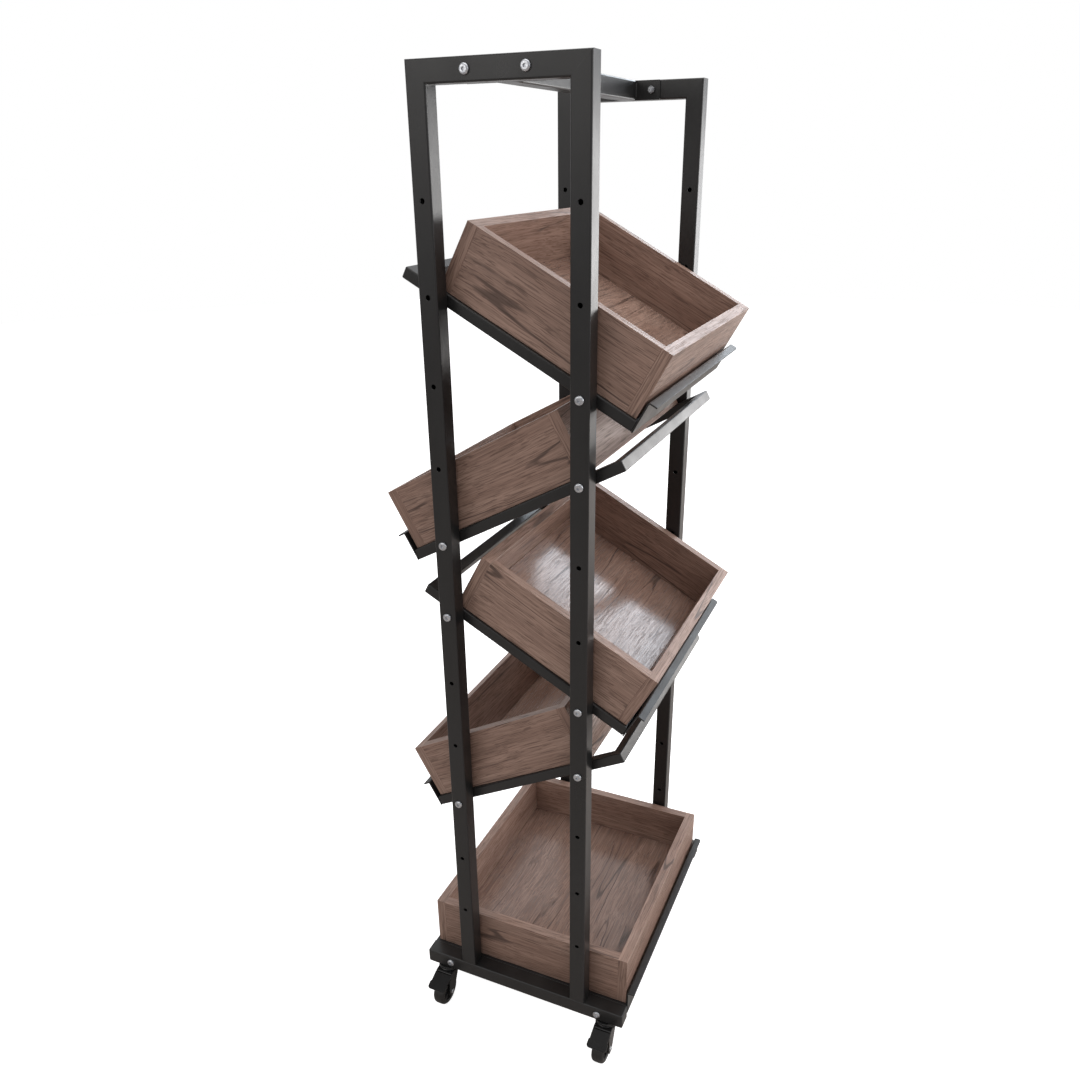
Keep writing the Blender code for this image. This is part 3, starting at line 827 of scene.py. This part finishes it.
@dataclass
class Spreader:
    """The tube that ties the two end frames at the top, its end plates and their nuts."""

    tube: float = 0.025
    corner: float = 0.0022
    plate: float = 0.0016
    plate_corner: float = 0.0012
    plate_arris: float = 0.0002
    hole_radius: float = 0.0034
    nut_across: float = 0.0088
    nut_height: float = 0.0042
    nut_bore: float = 0.0026
    nut_dome: float = 0.985
    nut_round: float = 0.0007
    nut_turn: float = 17.0
    nut_twist: float = 40.0

    def plate_at(self, end_name: str, end: int) -> None:
        """Builds an end plate with rounded corners and two bolt holes."""
        low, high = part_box("top_spreader_bar")
        y = end * (high.y - self.plate / 2)
        half = Vector((0.0, self.plate / 2, 0.0))
        low, high = Vector((low.x, y, low.z)) - half, Vector((high.x, y, high.z)) + half
        plate = block(f"{end_name}_tie_plate", low, high)
        round_edges(plate, self.plate_corner, 4, along(Axis.Y))
        for side_name, _ in LEFT_RIGHT:
            x, z = middle(f"{end_name}_spreader_bolt_{side_name}").xz
            start, stop = (x, y - self.plate, z), (x, y + self.plate, z)
            combine(plate, round_bar("drill", self.hole_radius, start, stop))
        fit_steel(soften(plate, self.plate_arris), "top_spreader_bar")

    def nuts(self) -> None:
        """Builds the hexagon nuts behind the end plates."""
        radius = self.nut_across / math.sqrt(3)
        master = round_bar("nut", radius, (0, 0, 0), (0, self.nut_height, 0), 6)
        dome = round_bar("dome", radius * self.nut_dome, (0, 0, 0), (0, self.nut_height, 0), 36)
        round_edges(dome, self.nut_round, 3, lambda start, end: abs(start.y - end.y) < NEAR)
        combine(master, dome, "INTERSECT")
        combine(master, round_bar("bore", self.nut_bore, (0, -0.001, 0), (0, self.nut_height + 0.001, 0)))
        smooth(master, 30.0)
        for end_name, end in FRONT_REAR:
            for side_name, side in LEFT_RIGHT:
                x, z = middle(f"{end_name}_spreader_bolt_{side_name}").xz
                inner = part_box("top_spreader_bar")[1].y - self.plate - GAP
                turn = Matrix.Rotation(math.radians(self.nut_turn + self.nut_twist * side), 4, "Y")
                face = Matrix.Rotation(math.pi if end > 0 else 0.0, 4, "Z")
                place = Matrix.Translation((x, end * inner, z)) @ face @ turn
                nut = copy(master, f"{end_name}_nut_{side_name}", place)
                fit(nut, [NUT_ZINC.build()], "frame")
        discard(master)

    def build(self) -> None:
        """Builds the tube, both plates, their welds and the nuts."""
        low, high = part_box("top_spreader_bar")
        half = self.tube / 2
        reach = high.y - self.plate
        tube = block("tie_tube", (-half, -reach, low.z), (half, reach, high.z))
        round_edges(tube, self.corner, 4, along(Axis.Y))
        fit_steel(tube, "top_spreader_bar")
        places = []
        for end_name, end in FRONT_REAR:
            self.plate_at(end_name, end)
            for side in (-1, 1):
                places.append(Matrix.Translation((side * half, end * reach, (low.z + high.z) / 2)))
        beads = WeldBead(ripples=14).run("tie_welds", places)
        fit(beads, [POWDER_COAT.build()], "frame")
        self.nuts()


# ---------------------------------------------------------------- cradles and trays
@dataclass
class Level:
    """One shelf level. Its own frame has X towards the lip and Z square to the floor.

    The frame's origin is under the middle of the tray, half way up the cradle's tubes.
    """

    number: int
    tray_length: float = 0.290
    end_gap: float = 0.0035
    cradle_length: float = 0.343
    cradle_node: str = ""
    tray_height: float = 0.087
    cradle_tube: float = 0.015
    frame_matrix: Matrix = field(init=False)
    flipped: bool = field(init=False)

    def __post_init__(self) -> None:
        """Reads the level's place from its tray and the direction that the tray lifts in."""
        lift = next(joint for joint in frame["joints"] if joint["name"] == f"tray_{self.number}_lift")
        normal = Vector(lift["axis"]).normalized()
        self.flipped = normal.x < -0.1
        across = Vector((0.0, -1.0 if self.flipped else 1.0, 0.0))
        down = across.cross(normal)
        drop = self.tray_height / 2 + GAP + self.cradle_tube / 2
        origin = middle(f"tray_{self.number}_boards") - normal * drop
        turn = Matrix((down, across, normal)).transposed()
        self.frame_matrix = Matrix.Translation(origin) @ turn.to_4x4()
        self.cradle_node = self.cradle_node or f"cradle_{self.number}"

    def place(self, piece: Piece) -> Piece:
        """Moves a piece from the level's frame to the rack's, and returns it."""
        piece.matrix_world = self.frame_matrix
        return settle(piece)

    def world_side(self, side: int) -> int:
        """The rack's own Y side of one of the level's Y sides."""
        return -side if self.flipped else side


@dataclass
class Cradle:
    """A ring of square tube under a tray, with a folded lip along its lower end."""

    level: Level
    corner: float = 0.0018
    sheet: float = 0.002
    lip_rise: float = 0.043
    flange: float = 0.0125
    bend: float = 0.0030
    tip_corner: float = 0.0040
    sheet_arris: float = 0.00035
    wall: float = 0.0012
    peg_radius: float = 0.0028
    peg_arris: float = 0.0006

    def ends(self) -> tuple[float, float]:
        """The ring's ends along the level's X, away from the lip and at it."""
        right = self.level.tray_length / 2 + self.level.end_gap
        return right - self.level.cradle_length, right

    def half_depth(self) -> float:
        """Half of the ring's depth. The top cradle's node has its pegs too, so it goes by the uprights."""
        if self.level.number == 1:
            return -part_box("front_right_upright")[0].y - EndFrame.tube - GAP
        low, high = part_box(self.level.cradle_node)
        return (high.y - low.y) / 2

    def ring(self) -> None:
        """Builds the ring: a block whose middle is inset, bridged and rounded."""
        left, right = self.ends()
        tube, half_y = self.level.cradle_tube, self.half_depth()
        low, high = (left, -half_y, -tube / 2), (right, half_y, tube / 2)
        ring = block(f"{self.level.cradle_node}_ring", low, high)
        select(ring, Pick.FACES, lambda centre, normal: abs(normal.z) > 0.9)
        bpy.ops.mesh.inset(thickness=tube, use_individual=True)
        bpy.ops.mesh.bridge_edge_loops()
        leave()
        round_edges(ring, self.corner, 4, square_on)
        self.level.place(ring)
        fit_steel(ring, self.level.cradle_node)

    def lip(self) -> None:
        """Builds the folded lip: a web whose top is pulled outwards, bent, thickened and eased."""
        _, right = self.ends()
        half_y, half_tube = self.half_depth(), self.level.cradle_tube / 2
        top = self.lip_rise - half_tube
        bpy.ops.object.select_all(action="DESELECT")
        bpy.ops.mesh.primitive_plane_add(
            size=1.0, location=(right + GAP / 2, 0, (top - half_tube) / 2), rotation=(0, -math.pi / 2, 0),
        )
        bpy.context.view_layer.objects.active.scale = (self.lip_rise, 2 * half_y, 1)
        lip = named(f"{self.level.cradle_node}_lip")
        select(lip, Pick.EDGES, lambda start, end: min(start.z, end.z) > top - NEAR)
        bpy.ops.mesh.extrude_region_move(TRANSFORM_OT_translate={"value": (self.flange - GAP / 2, 0, 0)})
        leave()
        round_edges(lip, self.bend, 5, lambda start, end: (
            min(start.z, end.z) > top - NEAR and max(start.x, end.x) < right + GAP
        ))
        for side in (-1, 1):
            far = self.level.world_side(side) > 0
            tip = right + self.flange - NEAR
            select(lip, Pick.POINTS, lambda place: place.x > tip and place.y * side > 0)
            size = self.tip_corner if far else self.tip_corner / 5
            bpy.ops.mesh.bevel(offset=size, segments=5, affect="VERTICES")
            leave()
        activate(lip)
        step = lip.modifiers.new("sheet", "SOLIDIFY")
        step.thickness = self.sheet
        step.offset = -1.0
        step.use_even_offset = True
        bpy.ops.object.modifier_apply(modifier=step.name)
        select(lip, Pick.FACES)
        bpy.ops.mesh.normals_make_consistent(inside=False)
        leave()
        soften(lip, self.sheet_arris, 2, 60.0)
        self.level.place(lip)
        fit_steel(lip, self.level.cradle_node)

    def welds(self) -> None:
        """Lays a weld bead in each inner corner of the ring."""
        left, right = self.ends()
        tube, half_y = self.level.cradle_tube, self.half_depth()
        places = [
            self.level.frame_matrix @ Matrix.Translation((x, side * (half_y - tube), 0))
            for x in (left + tube, right - tube) for side in (-1, 1)
        ]
        beads = WeldBead().run(f"{self.level.cradle_node}_corner_welds", places)
        fit(beads, [POWDER_COAT.build()], "frame")

    def pegs(self) -> None:
        """Builds the pegs that hang the top cradle's upper end in the end frames."""
        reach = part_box(self.level.cradle_node)[1].y
        x = 2 * middle("top_spreader_bar").x - middle("front_bolt_1_low").x
        z = middle("front_bolt_1_low").z + EndFrame.hole_pitch
        for end_name, end in FRONT_REAR:
            near, far = (x, end * (self.half_depth() - self.wall), z), (x, end * reach, z)
            peg = round_bar(f"{end_name}_cradle_peg", self.peg_radius, near, far)
            tip = reach - NEAR
            round_edges(peg, self.peg_arris, 3, lambda start, stop: min(abs(start.y), abs(stop.y)) > tip)
            fit_steel(peg, self.level.cradle_node)

    def build(self) -> None:
        """Builds the whole cradle."""
        self.ring()
        self.lip()
        self.welds()
        if self.level.number == 1:
            self.pegs()


@dataclass
class Tray:
    """A wooden tray: two sides between two end boards, and a floor panel.

    The shifts keep the boards' seeds apart, so that no two show the same stretch of grain.
    """

    level: Level
    board: float = 0.015
    depth: float = 0.390
    floor_board: float = 0.009
    floor_rise: float = 0.004
    arris: float = 0.0004
    seam: float = 0.00003
    seed_step: float = 0.71
    side_shift: float = 0.13
    end_shift: float = 0.31
    floor_shift: float = 0.52
    band_shift: float = 0.37
    floor_sheen: tuple[float, float] = (0.17, 0.62)

    def laminate(
        self, name: str, grain: Axis, seed: float, figure: float, sheen: tuple[float, float],
    ) -> Material:
        """The laminate of one board, or its edge band, with a pattern of its own."""
        origin = self.level.frame_matrix.translation
        turn = self.level.frame_matrix.to_euler()
        return Laminate(name, tuple(origin), tuple(turn), grain, seed, figure, *sheen).build()

    def plank(
        self, name: str, low: Point, high: Point, grain: Axis, seed: float,
        figure: float, node: str, banded: bool = False, sheen: tuple[float, float] = (0.37, 0.42),
    ) -> None:
        """Builds one board with eased edges.

        Args:
            name: Name of the board.
            low: Its lowest corner in the level's frame.
            high: Its highest corner.
            grain: The level's axis that the grain follows.
            seed: Shifts the pattern.
            figure: How much the grain wanders.
            node: CAD node that it stands for.
            banded: True if its ends show as bands with upright grain.
            sheen: Its roughness, and how strongly it reflects.
        """
        board = round_edges(block(name, low, high), self.arris, 3)
        finishes = [self.laminate(f"{name}_laminate", grain, seed, figure, sheen)]
        if banded:
            finishes.append(self.laminate(f"{name}_band", Axis.Z, seed + self.band_shift, 0.5, sheen))
            for finish in finishes:
                board.data.materials.append(finish)
            select(board, Pick.FACES, lambda centre, normal: abs(normal.y) > 0.999)
            board.active_material_index = 1
            bpy.ops.object.material_slot_assign()
            leave()
            marks = [face.material_index for face in board.data.polygons]
        self.level.place(board)
        smooth(board, 40.0)
        fit(board, finishes, f"tray_{self.level.number}", [node])
        if banded:
            board.data.polygons.foreach_set("material_index", marks)

    def build(self) -> None:
        """Builds the tray's four boards and its floor panel."""
        number = self.level.number
        bottom = self.level.cradle_tube / 2 + GAP
        top = bottom + self.level.tray_height
        half_x, half_y = self.level.tray_length / 2, self.depth / 2
        boards, floor = f"tray_{number}_boards", f"tray_{number}_floor"
        seed = number * self.seed_step
        seam = self.seam
        for side in (-1, 1):
            side_name = "rear" if self.level.world_side(side) > 0 else "front"
            outer, inner = side * half_y, side * (half_y - self.board)
            low = (-half_x + self.board + seam, min(outer, inner), bottom)
            high = (half_x - self.board - seam, max(outer, inner), top)
            name = f"tray_{number}_{side_name}_side"
            self.plank(name, low, high, Axis.X, seed + self.side_shift * side, 1.0, boards)
            end_name = "lower" if side > 0 else "upper"
            outer, inner = side * half_x, side * (half_x - self.board)
            low, high = (min(outer, inner), -half_y, bottom), (max(outer, inner), half_y, top)
            name = f"tray_{number}_{end_name}_end"
            self.plank(name, low, high, Axis.Y, seed + self.end_shift * side, 0.9, boards, banded=True)
        inside = Vector((half_x - self.board - GAP, half_y - self.board - GAP, 0))
        low, high = -inside, inside.copy()
        low.z = bottom + self.floor_rise
        high.z = low.z + self.floor_board
        name = f"tray_{number}_floor_panel"
        self.plank(name, low, high, Axis.Y, seed + self.floor_shift, 1.3, floor, sheen=self.floor_sheen)


# ---------------------------------------------------------------- bolts
@dataclass
class BoltSet:
    """Button-head bolts with a hexagon socket, on the outer faces of the end frames."""

    head_radius: float = 0.0060
    head_height: float = 0.0031
    rim: float = 0.0006
    socket_radius: float = 0.0023
    socket_depth: float = 0.0019
    shank_radius: float = 0.0030
    seat_inset: float = 0.0032
    turn_step: float = 23.0

    def master(self, length: float) -> Piece:
        """A bolt along Y: its head's seat is at the origin, its shank runs to +Y."""
        bolt = round_bar("bolt", self.head_radius, (0, -self.head_height, 0), (0, 0, 0), 36)
        crown = NEAR - self.head_height
        round_edges(bolt, self.head_height - self.rim, 6, lambda start, end: max(start.y, end.y) < crown)
        select(bolt, Pick.FACES, lambda centre, normal: normal.y > 0.9)
        bpy.ops.mesh.inset(thickness=self.head_radius - self.shank_radius)
        bpy.ops.mesh.extrude_region_move(TRANSFORM_OT_translate={"value": (0, length, 0)})
        leave()
        deep = self.socket_depth - self.head_height
        combine(bolt, round_bar("socket", self.socket_radius, (0, -2 * self.head_height, 0), (0, deep, 0), 6))
        return smooth(bolt, 32.0)

    def build(self) -> None:
        """Builds every bolt in place of its CAD node."""
        masters: dict[int, Piece] = {}
        nodes = sorted(name for name in frame["nodes"] if "_bolt_" in name)
        for count, node in enumerate(nodes):
            low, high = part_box(node)
            rear = node.startswith("rear")
            seat = high.y - self.seat_inset if rear else low.y + self.seat_inset
            length = seat - low.y if rear else high.y - seat
            key = round(length * 1e5)
            if key not in masters:
                masters[key] = self.master(length)
            centre = middle(node)
            face = Matrix.Rotation(math.pi if rear else 0.0, 4, "Z")
            turn = Matrix.Rotation(math.radians(self.turn_step * count), 4, "Y")
            place = Matrix.Translation((centre.x, seat, centre.z)) @ face @ turn
            bolt = copy(masters[key], f"{node}_button_head", place)
            fit(bolt, [ZINC.build()], "frame", [node])
        discard(*masters.values())


# ---------------------------------------------------------------- casters
@dataclass
class Caster:
    """A swivel caster. Its own frame has Y along the trail and Z up from the foot bar's underside."""

    end_name: str
    end: int
    side_name: str
    side: int
    trail: float = 0.018
    crown_radius: float = 0.0172
    crown_top: float = -0.0085
    crown_under: float = -0.0125
    fork_gap: float = 0.0240
    cheek: float = 0.0030
    cheek_back: float = -0.006
    cheek_front: float = 0.0192
    ear_radius: float = 0.0032
    cheek_arris: float = 0.0006
    crown_round: float = 0.0013
    bridge_round: float = 0.0018
    kingpin_hole: float = 0.0043
    rivet_rise: float = 0.0015
    rivet_dome: float = 0.0012
    rib_count: int = 6
    rib_ends: tuple[float, float] = (0.0072, 0.0170)
    rib_heights: tuple[float, float] = (0.0055, 0.0084)
    rib_half: float = 0.0007
    rib_arris: float = 0.0003
    boss_radius: float = 0.0075
    wheel_radius: float = 0.025
    wheel_width: float = 0.020
    pedal_pivot: tuple[float, float] = (0.022, -0.0175)
    pedal_slope: float = 24.0
    pedal_sheet: float = 0.0022
    pedal_rise: float = 0.0034
    pedal_hood: float = 0.0148
    hood_back: float = -0.0045
    hood_front: float = 0.0190
    pedal_neck: float = 0.0110
    pedal_tab: float = 0.0165
    pedal_shoulder: float = 0.0100
    pedal_tip: float = 0.0250
    pedal_arris: float = 0.0007
    tab_round: float = 0.0045
    lug_sheet: float = 0.0020
    lug_low: tuple[float, float] = (-0.0026, -0.0026)
    lug_front: float = 0.0050
    pin_radius: float = 0.0014

    @property
    def name(self) -> str:
        """The caster's name, which its CAD nodes begin with."""
        return f"{self.end_name}_{self.side_name}"

    @property
    def frame_matrix(self) -> Matrix:
        """From the caster's own frame to the rack's."""
        centre = middle(f"{self.name}_mount")
        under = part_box(f"{self.end_name}_bottom_bar")[0].z
        heading = Matrix.Rotation(math.pi if self.end < 0 else 0.0, 4, "Z")
        return Matrix.Translation((centre.x, centre.y, under)) @ heading

    @property
    def axle_height(self) -> float:
        """Height of the axle in the caster's own frame."""
        return self.wheel_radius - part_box(f"{self.end_name}_bottom_bar")[0].z

    def on_axle(self, piece: Piece) -> Piece:
        """Turns a piece made about Z onto the axle, and returns it."""
        turn = Matrix.Rotation(math.pi / 2, 4, "Y")
        piece.matrix_world = Matrix.Translation((0, self.trail, self.axle_height)) @ turn
        return settle(piece)

    def place(self, piece: Piece, slope: Matrix = Matrix.Identity(4)) -> Piece:
        """Moves a piece from the caster's frame to the rack's, and returns it."""
        piece.matrix_world = self.frame_matrix @ slope
        return settle(piece)

    def mount(self) -> None:
        """Builds the fixed part: stem, bearing cup and riveted kingpin."""
        outline = (
            (0, 0.0118), (0.0042, 0.0118), (0.0050, 0.0110), (0.0050, -0.0003), (0.0155, -0.0003),
            (0.0163, -0.0008), (0.0165, -0.0016), (0.0165, -0.0034), (0.0158, -0.0040), (0.0158, -0.0046),
            (0.0165, -0.0052), (0.0165, -0.0072), (0.0162, -0.0079), (0.0154, -0.0082), (0.0040, -0.0082),
            (0.0040, -0.0128), (0.0062, -0.0128), (0.0065, -0.0132), (0.0060, -0.0142), (0.0046, -0.0148),
            (0, -0.0148),
        )
        made = smooth(turned(f"{self.name}_bearing_cup", outline), 40.0)
        self.place(made)
        fit(made, [PRESSED_STEEL.build()], "frame", [f"{self.name}_mount"])

    def cheek_plate(self, side: int) -> Piece:
        """A side plate: a boss, a top edge and an ear wrapped in a hull, with eased edges."""
        near, far = side * self.fork_gap / 2, side * (self.fork_gap / 2 + self.cheek)
        y, z = self.trail, self.axle_height
        plate = round_bar("cheek", self.boss_radius, (near, y, z), (far, y, z), 40)
        top = block("cheek_top", (min(near, far), self.cheek_back, self.crown_under - 0.0010),
                    (max(near, far), self.cheek_front, self.crown_under + 0.0008))
        ear = round_bar("ear", self.ear_radius, (near, *self.pedal_pivot), (far, *self.pedal_pivot), 24)
        plate = join([plate, top, ear])
        select(plate, Pick.POINTS)
        bpy.ops.mesh.convex_hull()
        leave()
        return soften(plate, self.cheek_arris, 3)

    def fork(self) -> None:
        """Builds the pressed fork: a round crown, a bridge and two cheeks in one piece."""
        half = self.fork_gap / 2 + self.cheek
        low, high = (0, 0, self.crown_under), (0, 0, self.crown_top)
        crown = round_bar(f"{self.name}_swivel_fork", self.crown_radius, low, high, 56)
        round_edges(crown, self.crown_round, 4, lambda start, end: abs(start.z - end.z) < NEAR)
        bridge = block("bridge", (-half, 0, self.crown_under), (half, self.cheek_front, self.crown_top))
        round_edges(bridge, self.bridge_round, 4, lambda start, end: (
            min(start.z, end.z) > self.crown_top - NEAR or along(Axis.Z)(start, end)
        ))
        combine(crown, bridge, "UNION")
        for side in (-1, 1):
            combine(crown, self.cheek_plate(side), "UNION")
        combine(crown, round_bar("kingpin_hole", self.kingpin_hole, (0, 0, -0.03), (0, 0, 0)))
        self.place(smooth(crown, 32.0))
        fit(crown, [PRESSED_STEEL.build()], f"{self.name}_swivel", [f"{self.name}_fork"])
        self.axle(half)

    def axle(self, half: float) -> None:
        """Builds the axle with a domed rivet head outside each cheek."""
        reach, dome = half + self.rivet_rise, self.rivet_dome
        outline = mirrored((
            (0, reach), (0.0024, reach - 0.0001), (0.0037, reach - 0.0006), (0.0042, reach - dome),
            (0.0042, half + 0.0001), (0.0029, half + 0.0001),
        ))
        made = self.on_axle(turned(f"{self.name}_axle_rivet", outline, 32))
        self.place(smooth(made, 40.0))
        fit(made, [ZINC.build()], f"{self.name}_swivel")

    def wheel(self) -> None:
        """Builds the wheel: a moulded core with a ribbed disc, and a tread with a mould line."""
        radius, half = self.wheel_radius, self.wheel_width / 2
        tread = mirrored((
            (0.0182, half - 0.0012), (0.0190, half - 0.0002), (0.0205, half), (0.0220, half - 0.0003),
            (0.0233, half - 0.0013), (0.0243, half - 0.0028), (0.0249, half - 0.0050),
            (radius, half - 0.0075), (radius, 0.0004), (0.02485, 0.0),
        ))
        tyre = turned(f"{self.name}_tread", tread, 72)
        core = mirrored((
            (0.0033, 0.01125), (0.0070, 0.01125), (0.0075, 0.0108), (0.0076, 0.0066), (0.0084, 0.0060),
            (0.0158, 0.0060), (0.0166, 0.0066), (0.0168, 0.0088), (0.0172, 0.0092), (0.0180, 0.0092),
        ))
        hub = turned(f"{self.name}_wheel_core", core, 64)
        ribs = []
        for side in (-1, 1):
            under, over = sorted(side * height for height in self.rib_heights)
            start, end = self.rib_ends
            for number in range(self.rib_count):
                low, high = (start, -self.rib_half, under), (end, self.rib_half, over)
                rib = block(f"rib_{number}_{side}", low, high)
                turn = Matrix.Rotation(2 * math.pi * number / self.rib_count, 4, "Z")
                soften(rib, self.rib_arris).matrix_world = turn
                ribs.append(settle(rib))
        combine(hub, join(ribs), "UNION")
        for piece, finish in ((tyre, TREAD_RUBBER), (hub, CORE_NYLON)):
            self.place(smooth(self.on_axle(piece), 38.0))
            fit(piece, [finish.build()], f"{self.name}_roller", [f"{self.name}_wheel"])

    def pedal(self) -> None:
        """Builds the brake pedal: a smooth hood over the fork, a wide tab, two lugs and a hinge pin."""
        base, top = self.pedal_rise, self.pedal_rise + self.pedal_sheet
        hood, wide = self.pedal_hood, self.pedal_tab
        pedal = block(f"{self.name}_foot_pedal", (-hood, self.hood_back, base), (hood, self.hood_front, top))
        tab = block("tab", (-wide, self.pedal_shoulder, base), (wide, self.pedal_tip, top))
        round_edges(tab, self.tab_round, 6, along(Axis.Z))
        combine(pedal, tab, "UNION")
        for side in (-1, 1):
            inner, outer = sorted((side * (self.pedal_neck - self.lug_sheet), side * self.pedal_neck))
            lug = block("lug", (inner, *self.lug_low), (outer, self.lug_front, top - 0.0004))
            combine(pedal, round_edges(lug, self.lug_sheet, 4, along(Axis.X)), "UNION")
        soften(pedal, self.pedal_arris, 3)
        reach = self.fork_gap / 2 + self.cheek
        combine(pedal, round_bar("pin", self.pin_radius, (-reach, 0, 0), (reach, 0, 0), 20), "UNION")
        y, z = self.pedal_pivot
        slope = Matrix.Translation((0, y, z)) @ Matrix.Rotation(-math.radians(self.pedal_slope), 4, "X")
        self.place(smooth(pedal, 32.0), slope)
        fit(pedal, [PEDAL_NYLON.build()], f"{self.name}_pedal", [f"{self.name}_brake_pedal"])

    def build(self) -> None:
        """Builds the whole caster."""
        self.mount()
        self.fork()
        self.wheel()
        if self.end < 0:
            self.pedal()


# ---------------------------------------------------------------- studio
@dataclass(frozen=True)
class Softbox:
    """A rectangular soft light that faces a target."""

    name: str
    place: Triple
    target: Triple
    size: tuple[float, float]
    radiance: float
    colour: Triple

    def build(self) -> None:
        """Adds the light."""
        lamp = bpy.data.lights.new(self.name, "AREA")
        lamp.shape = "RECTANGLE"
        lamp.size, lamp.size_y = self.size
        lamp.energy = self.radiance * math.pi * self.size[0] * self.size[1]
        lamp.color = self.colour
        holder = bpy.data.objects.new(self.name, lamp)
        bpy.context.scene.collection.objects.link(holder)
        holder.location = self.place
        aim = Vector(self.target) - Vector(self.place)
        holder.rotation_euler = aim.to_track_quat("-Z", "Y").to_euler()
        log.info("%s shines", self.name)


@dataclass
class Studio:
    """The pale floor, the soft lights and the camera."""

    eye: Triple = (0.4903, -1.2094, 1.3193)
    yaw: float = 0.4223
    pitch: float = 0.4298
    roll: float = -0.0126
    lens: float = 30.668
    shift: tuple[float, float] = (-0.0027, 0.0400)
    sensor: float = 36.0
    glow: float = 0.84
    pale: Triple = (0.80, 0.80, 0.80)
    bounce: Triple = (0.50, 0.46, 0.43)
    ahead: Triple = (0.50, 0.49, 0.49)
    behind: Triple = (0.92, 0.93, 0.96)
    softboxes: tuple[Softbox, ...] = (
        Softbox("upper_window", (0.62, 2.8, 2.29), (0.62, 0.0, 2.05), (1.74, 0.56), 5.6, (0.82, 0.91, 1.0)),
        Softbox("lower_window", (0.33, 2.8, 0.90), (0.33, 0.0, 0.90), (1.45, 1.0), 1.3, (0.98, 0.98, 1.0)),
        Softbox("side_window", (1.90, 2.7, 0.85), (0.40, 0.0, 0.85), (1.7, 1.3), 5.2, (1.0, 0.98, 0.96)),
        Softbox("ceiling_glow", (0.30, 0.2, 3.30), (0.20, 0.1, 0.00), (2.4, 2.4), 1.7, (1.0, 0.97, 0.94)),
        Softbox("right_light", (2.6, 0.5, 1.70), (0.0, 0.0, 0.80), (1.4, 1.8), 2.2, (1.0, 0.97, 0.94)),
        Softbox("front_fill", (-1.4, -2.6, 2.20), (0.0, 0.0, 0.70), (1.8, 1.8), 1.2, (1.0, 0.97, 0.94)),
    )

    def camera(self) -> None:
        """Sets up the camera at the eye."""
        view = bpy.data.cameras.new("camera")
        view.lens = self.lens
        view.sensor_width = self.sensor
        view.shift_x, view.shift_y = self.shift
        view.clip_start = 0.05
        level = math.cos(self.pitch)
        forward = Vector((-math.sin(self.yaw) * level, math.cos(self.yaw) * level, -math.sin(self.pitch)))
        right = forward.cross(UP).normalized()
        above = right.cross(forward)
        turned_right = right * math.cos(self.roll) + above * math.sin(self.roll)
        turned_above = above * math.cos(self.roll) - right * math.sin(self.roll)
        turn = Matrix((turned_right, turned_above, -forward)).transposed()
        holder = bpy.data.objects.new("camera", view)
        bpy.context.scene.collection.objects.link(holder)
        holder.matrix_world = Matrix.Translation(self.eye) @ turn.to_4x4()
        bpy.context.scene.camera = holder

    def show(self, graph: Graph, lighting: Node, seen: Node, kind: str) -> None:
        """Ends a graph with what lights the rack, and what the camera sees in its place."""
        path = graph.add("LightPath").outputs["Is Camera Ray"]
        both = graph.add("MixShader", {0: path, 1: lighting.outputs[0], 2: seen.outputs[0]})
        graph.feed(graph.add(kind).inputs["Surface"], both.outputs[0])

    def floor(self) -> None:
        """Lays the pale floor, which looks near white and lights the rack softly."""
        bpy.ops.object.select_all(action="DESELECT")
        bpy.ops.mesh.primitive_circle_add(vertices=96, radius=9.0, fill_type="NGON", location=(0, 0, 0))
        ground = named("studio_floor")
        made = bpy.data.materials.new("studio_floor")
        made.use_nodes = True
        graph = Graph(made.node_tree)
        made.node_tree.nodes.clear()
        pale = graph.add("BsdfDiffuse", {"Color": self.pale})
        glow = graph.add("Emission", {"Color": WHITE, "Strength": self.glow})
        seen = graph.add("AddShader", {0: pale.outputs[0], 1: glow.outputs[0]})
        bounce = graph.add("BsdfDiffuse", {"Color": self.bounce})
        self.show(graph, bounce, seen, "OutputMaterial")
        ground.data.materials.append(made)

    def sky(self) -> None:
        """A white surround that lights from behind more than from the front."""
        world = bpy.data.worlds.new("studio")
        bpy.context.scene.world = world
        world.use_nodes = True
        world.node_tree.nodes.clear()
        graph = Graph(world.node_tree)
        direction = graph.add("TexCoord").outputs["Generated"]
        parts = graph.add("SeparateXYZ", {0: direction})
        along_light = graph.math("ADD", parts.outputs["Y"], graph.share(parts.outputs["X"], 0.6))
        shade = graph.mix(graph.spread(along_light, -0.5, 0.9), self.ahead, self.behind)
        lit = graph.add("Background", {"Color": shade, "Strength": 1.0})
        seen = graph.add("Background", {"Color": WHITE, "Strength": 1.0})
        self.show(graph, lit, seen, "OutputWorld")

    def build(self) -> None:
        """Builds the studio."""
        self.camera()
        self.floor()
        self.sky()
        for softbox in self.softboxes:
            softbox.build()
        bpy.context.scene.view_settings.view_transform = "Standard"


def main() -> None:
    """Builds the rack's looks in order."""
    logging.basicConfig(level=logging.INFO, format="%(name)s: %(message)s")
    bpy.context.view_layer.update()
    Studio().build()
    for end_name, end in FRONT_REAR:
        EndFrame(end_name, end).build()
        for side_name, side in LEFT_RIGHT:
            Caster(end_name, end, side_name, side).build()
    Spreader().build()
    levels = [Level(number) for number in (1, 2, 3, 4)]
    levels.append(Level(5, tray_length=0.340, end_gap=0.0025, cradle_length=0.348, cradle_node="base_cradle"))
    for level in levels:
        Cradle(level).build()
        Tray(level).build()
    BoltSet().build()


if __name__ == "__main__":
    main()
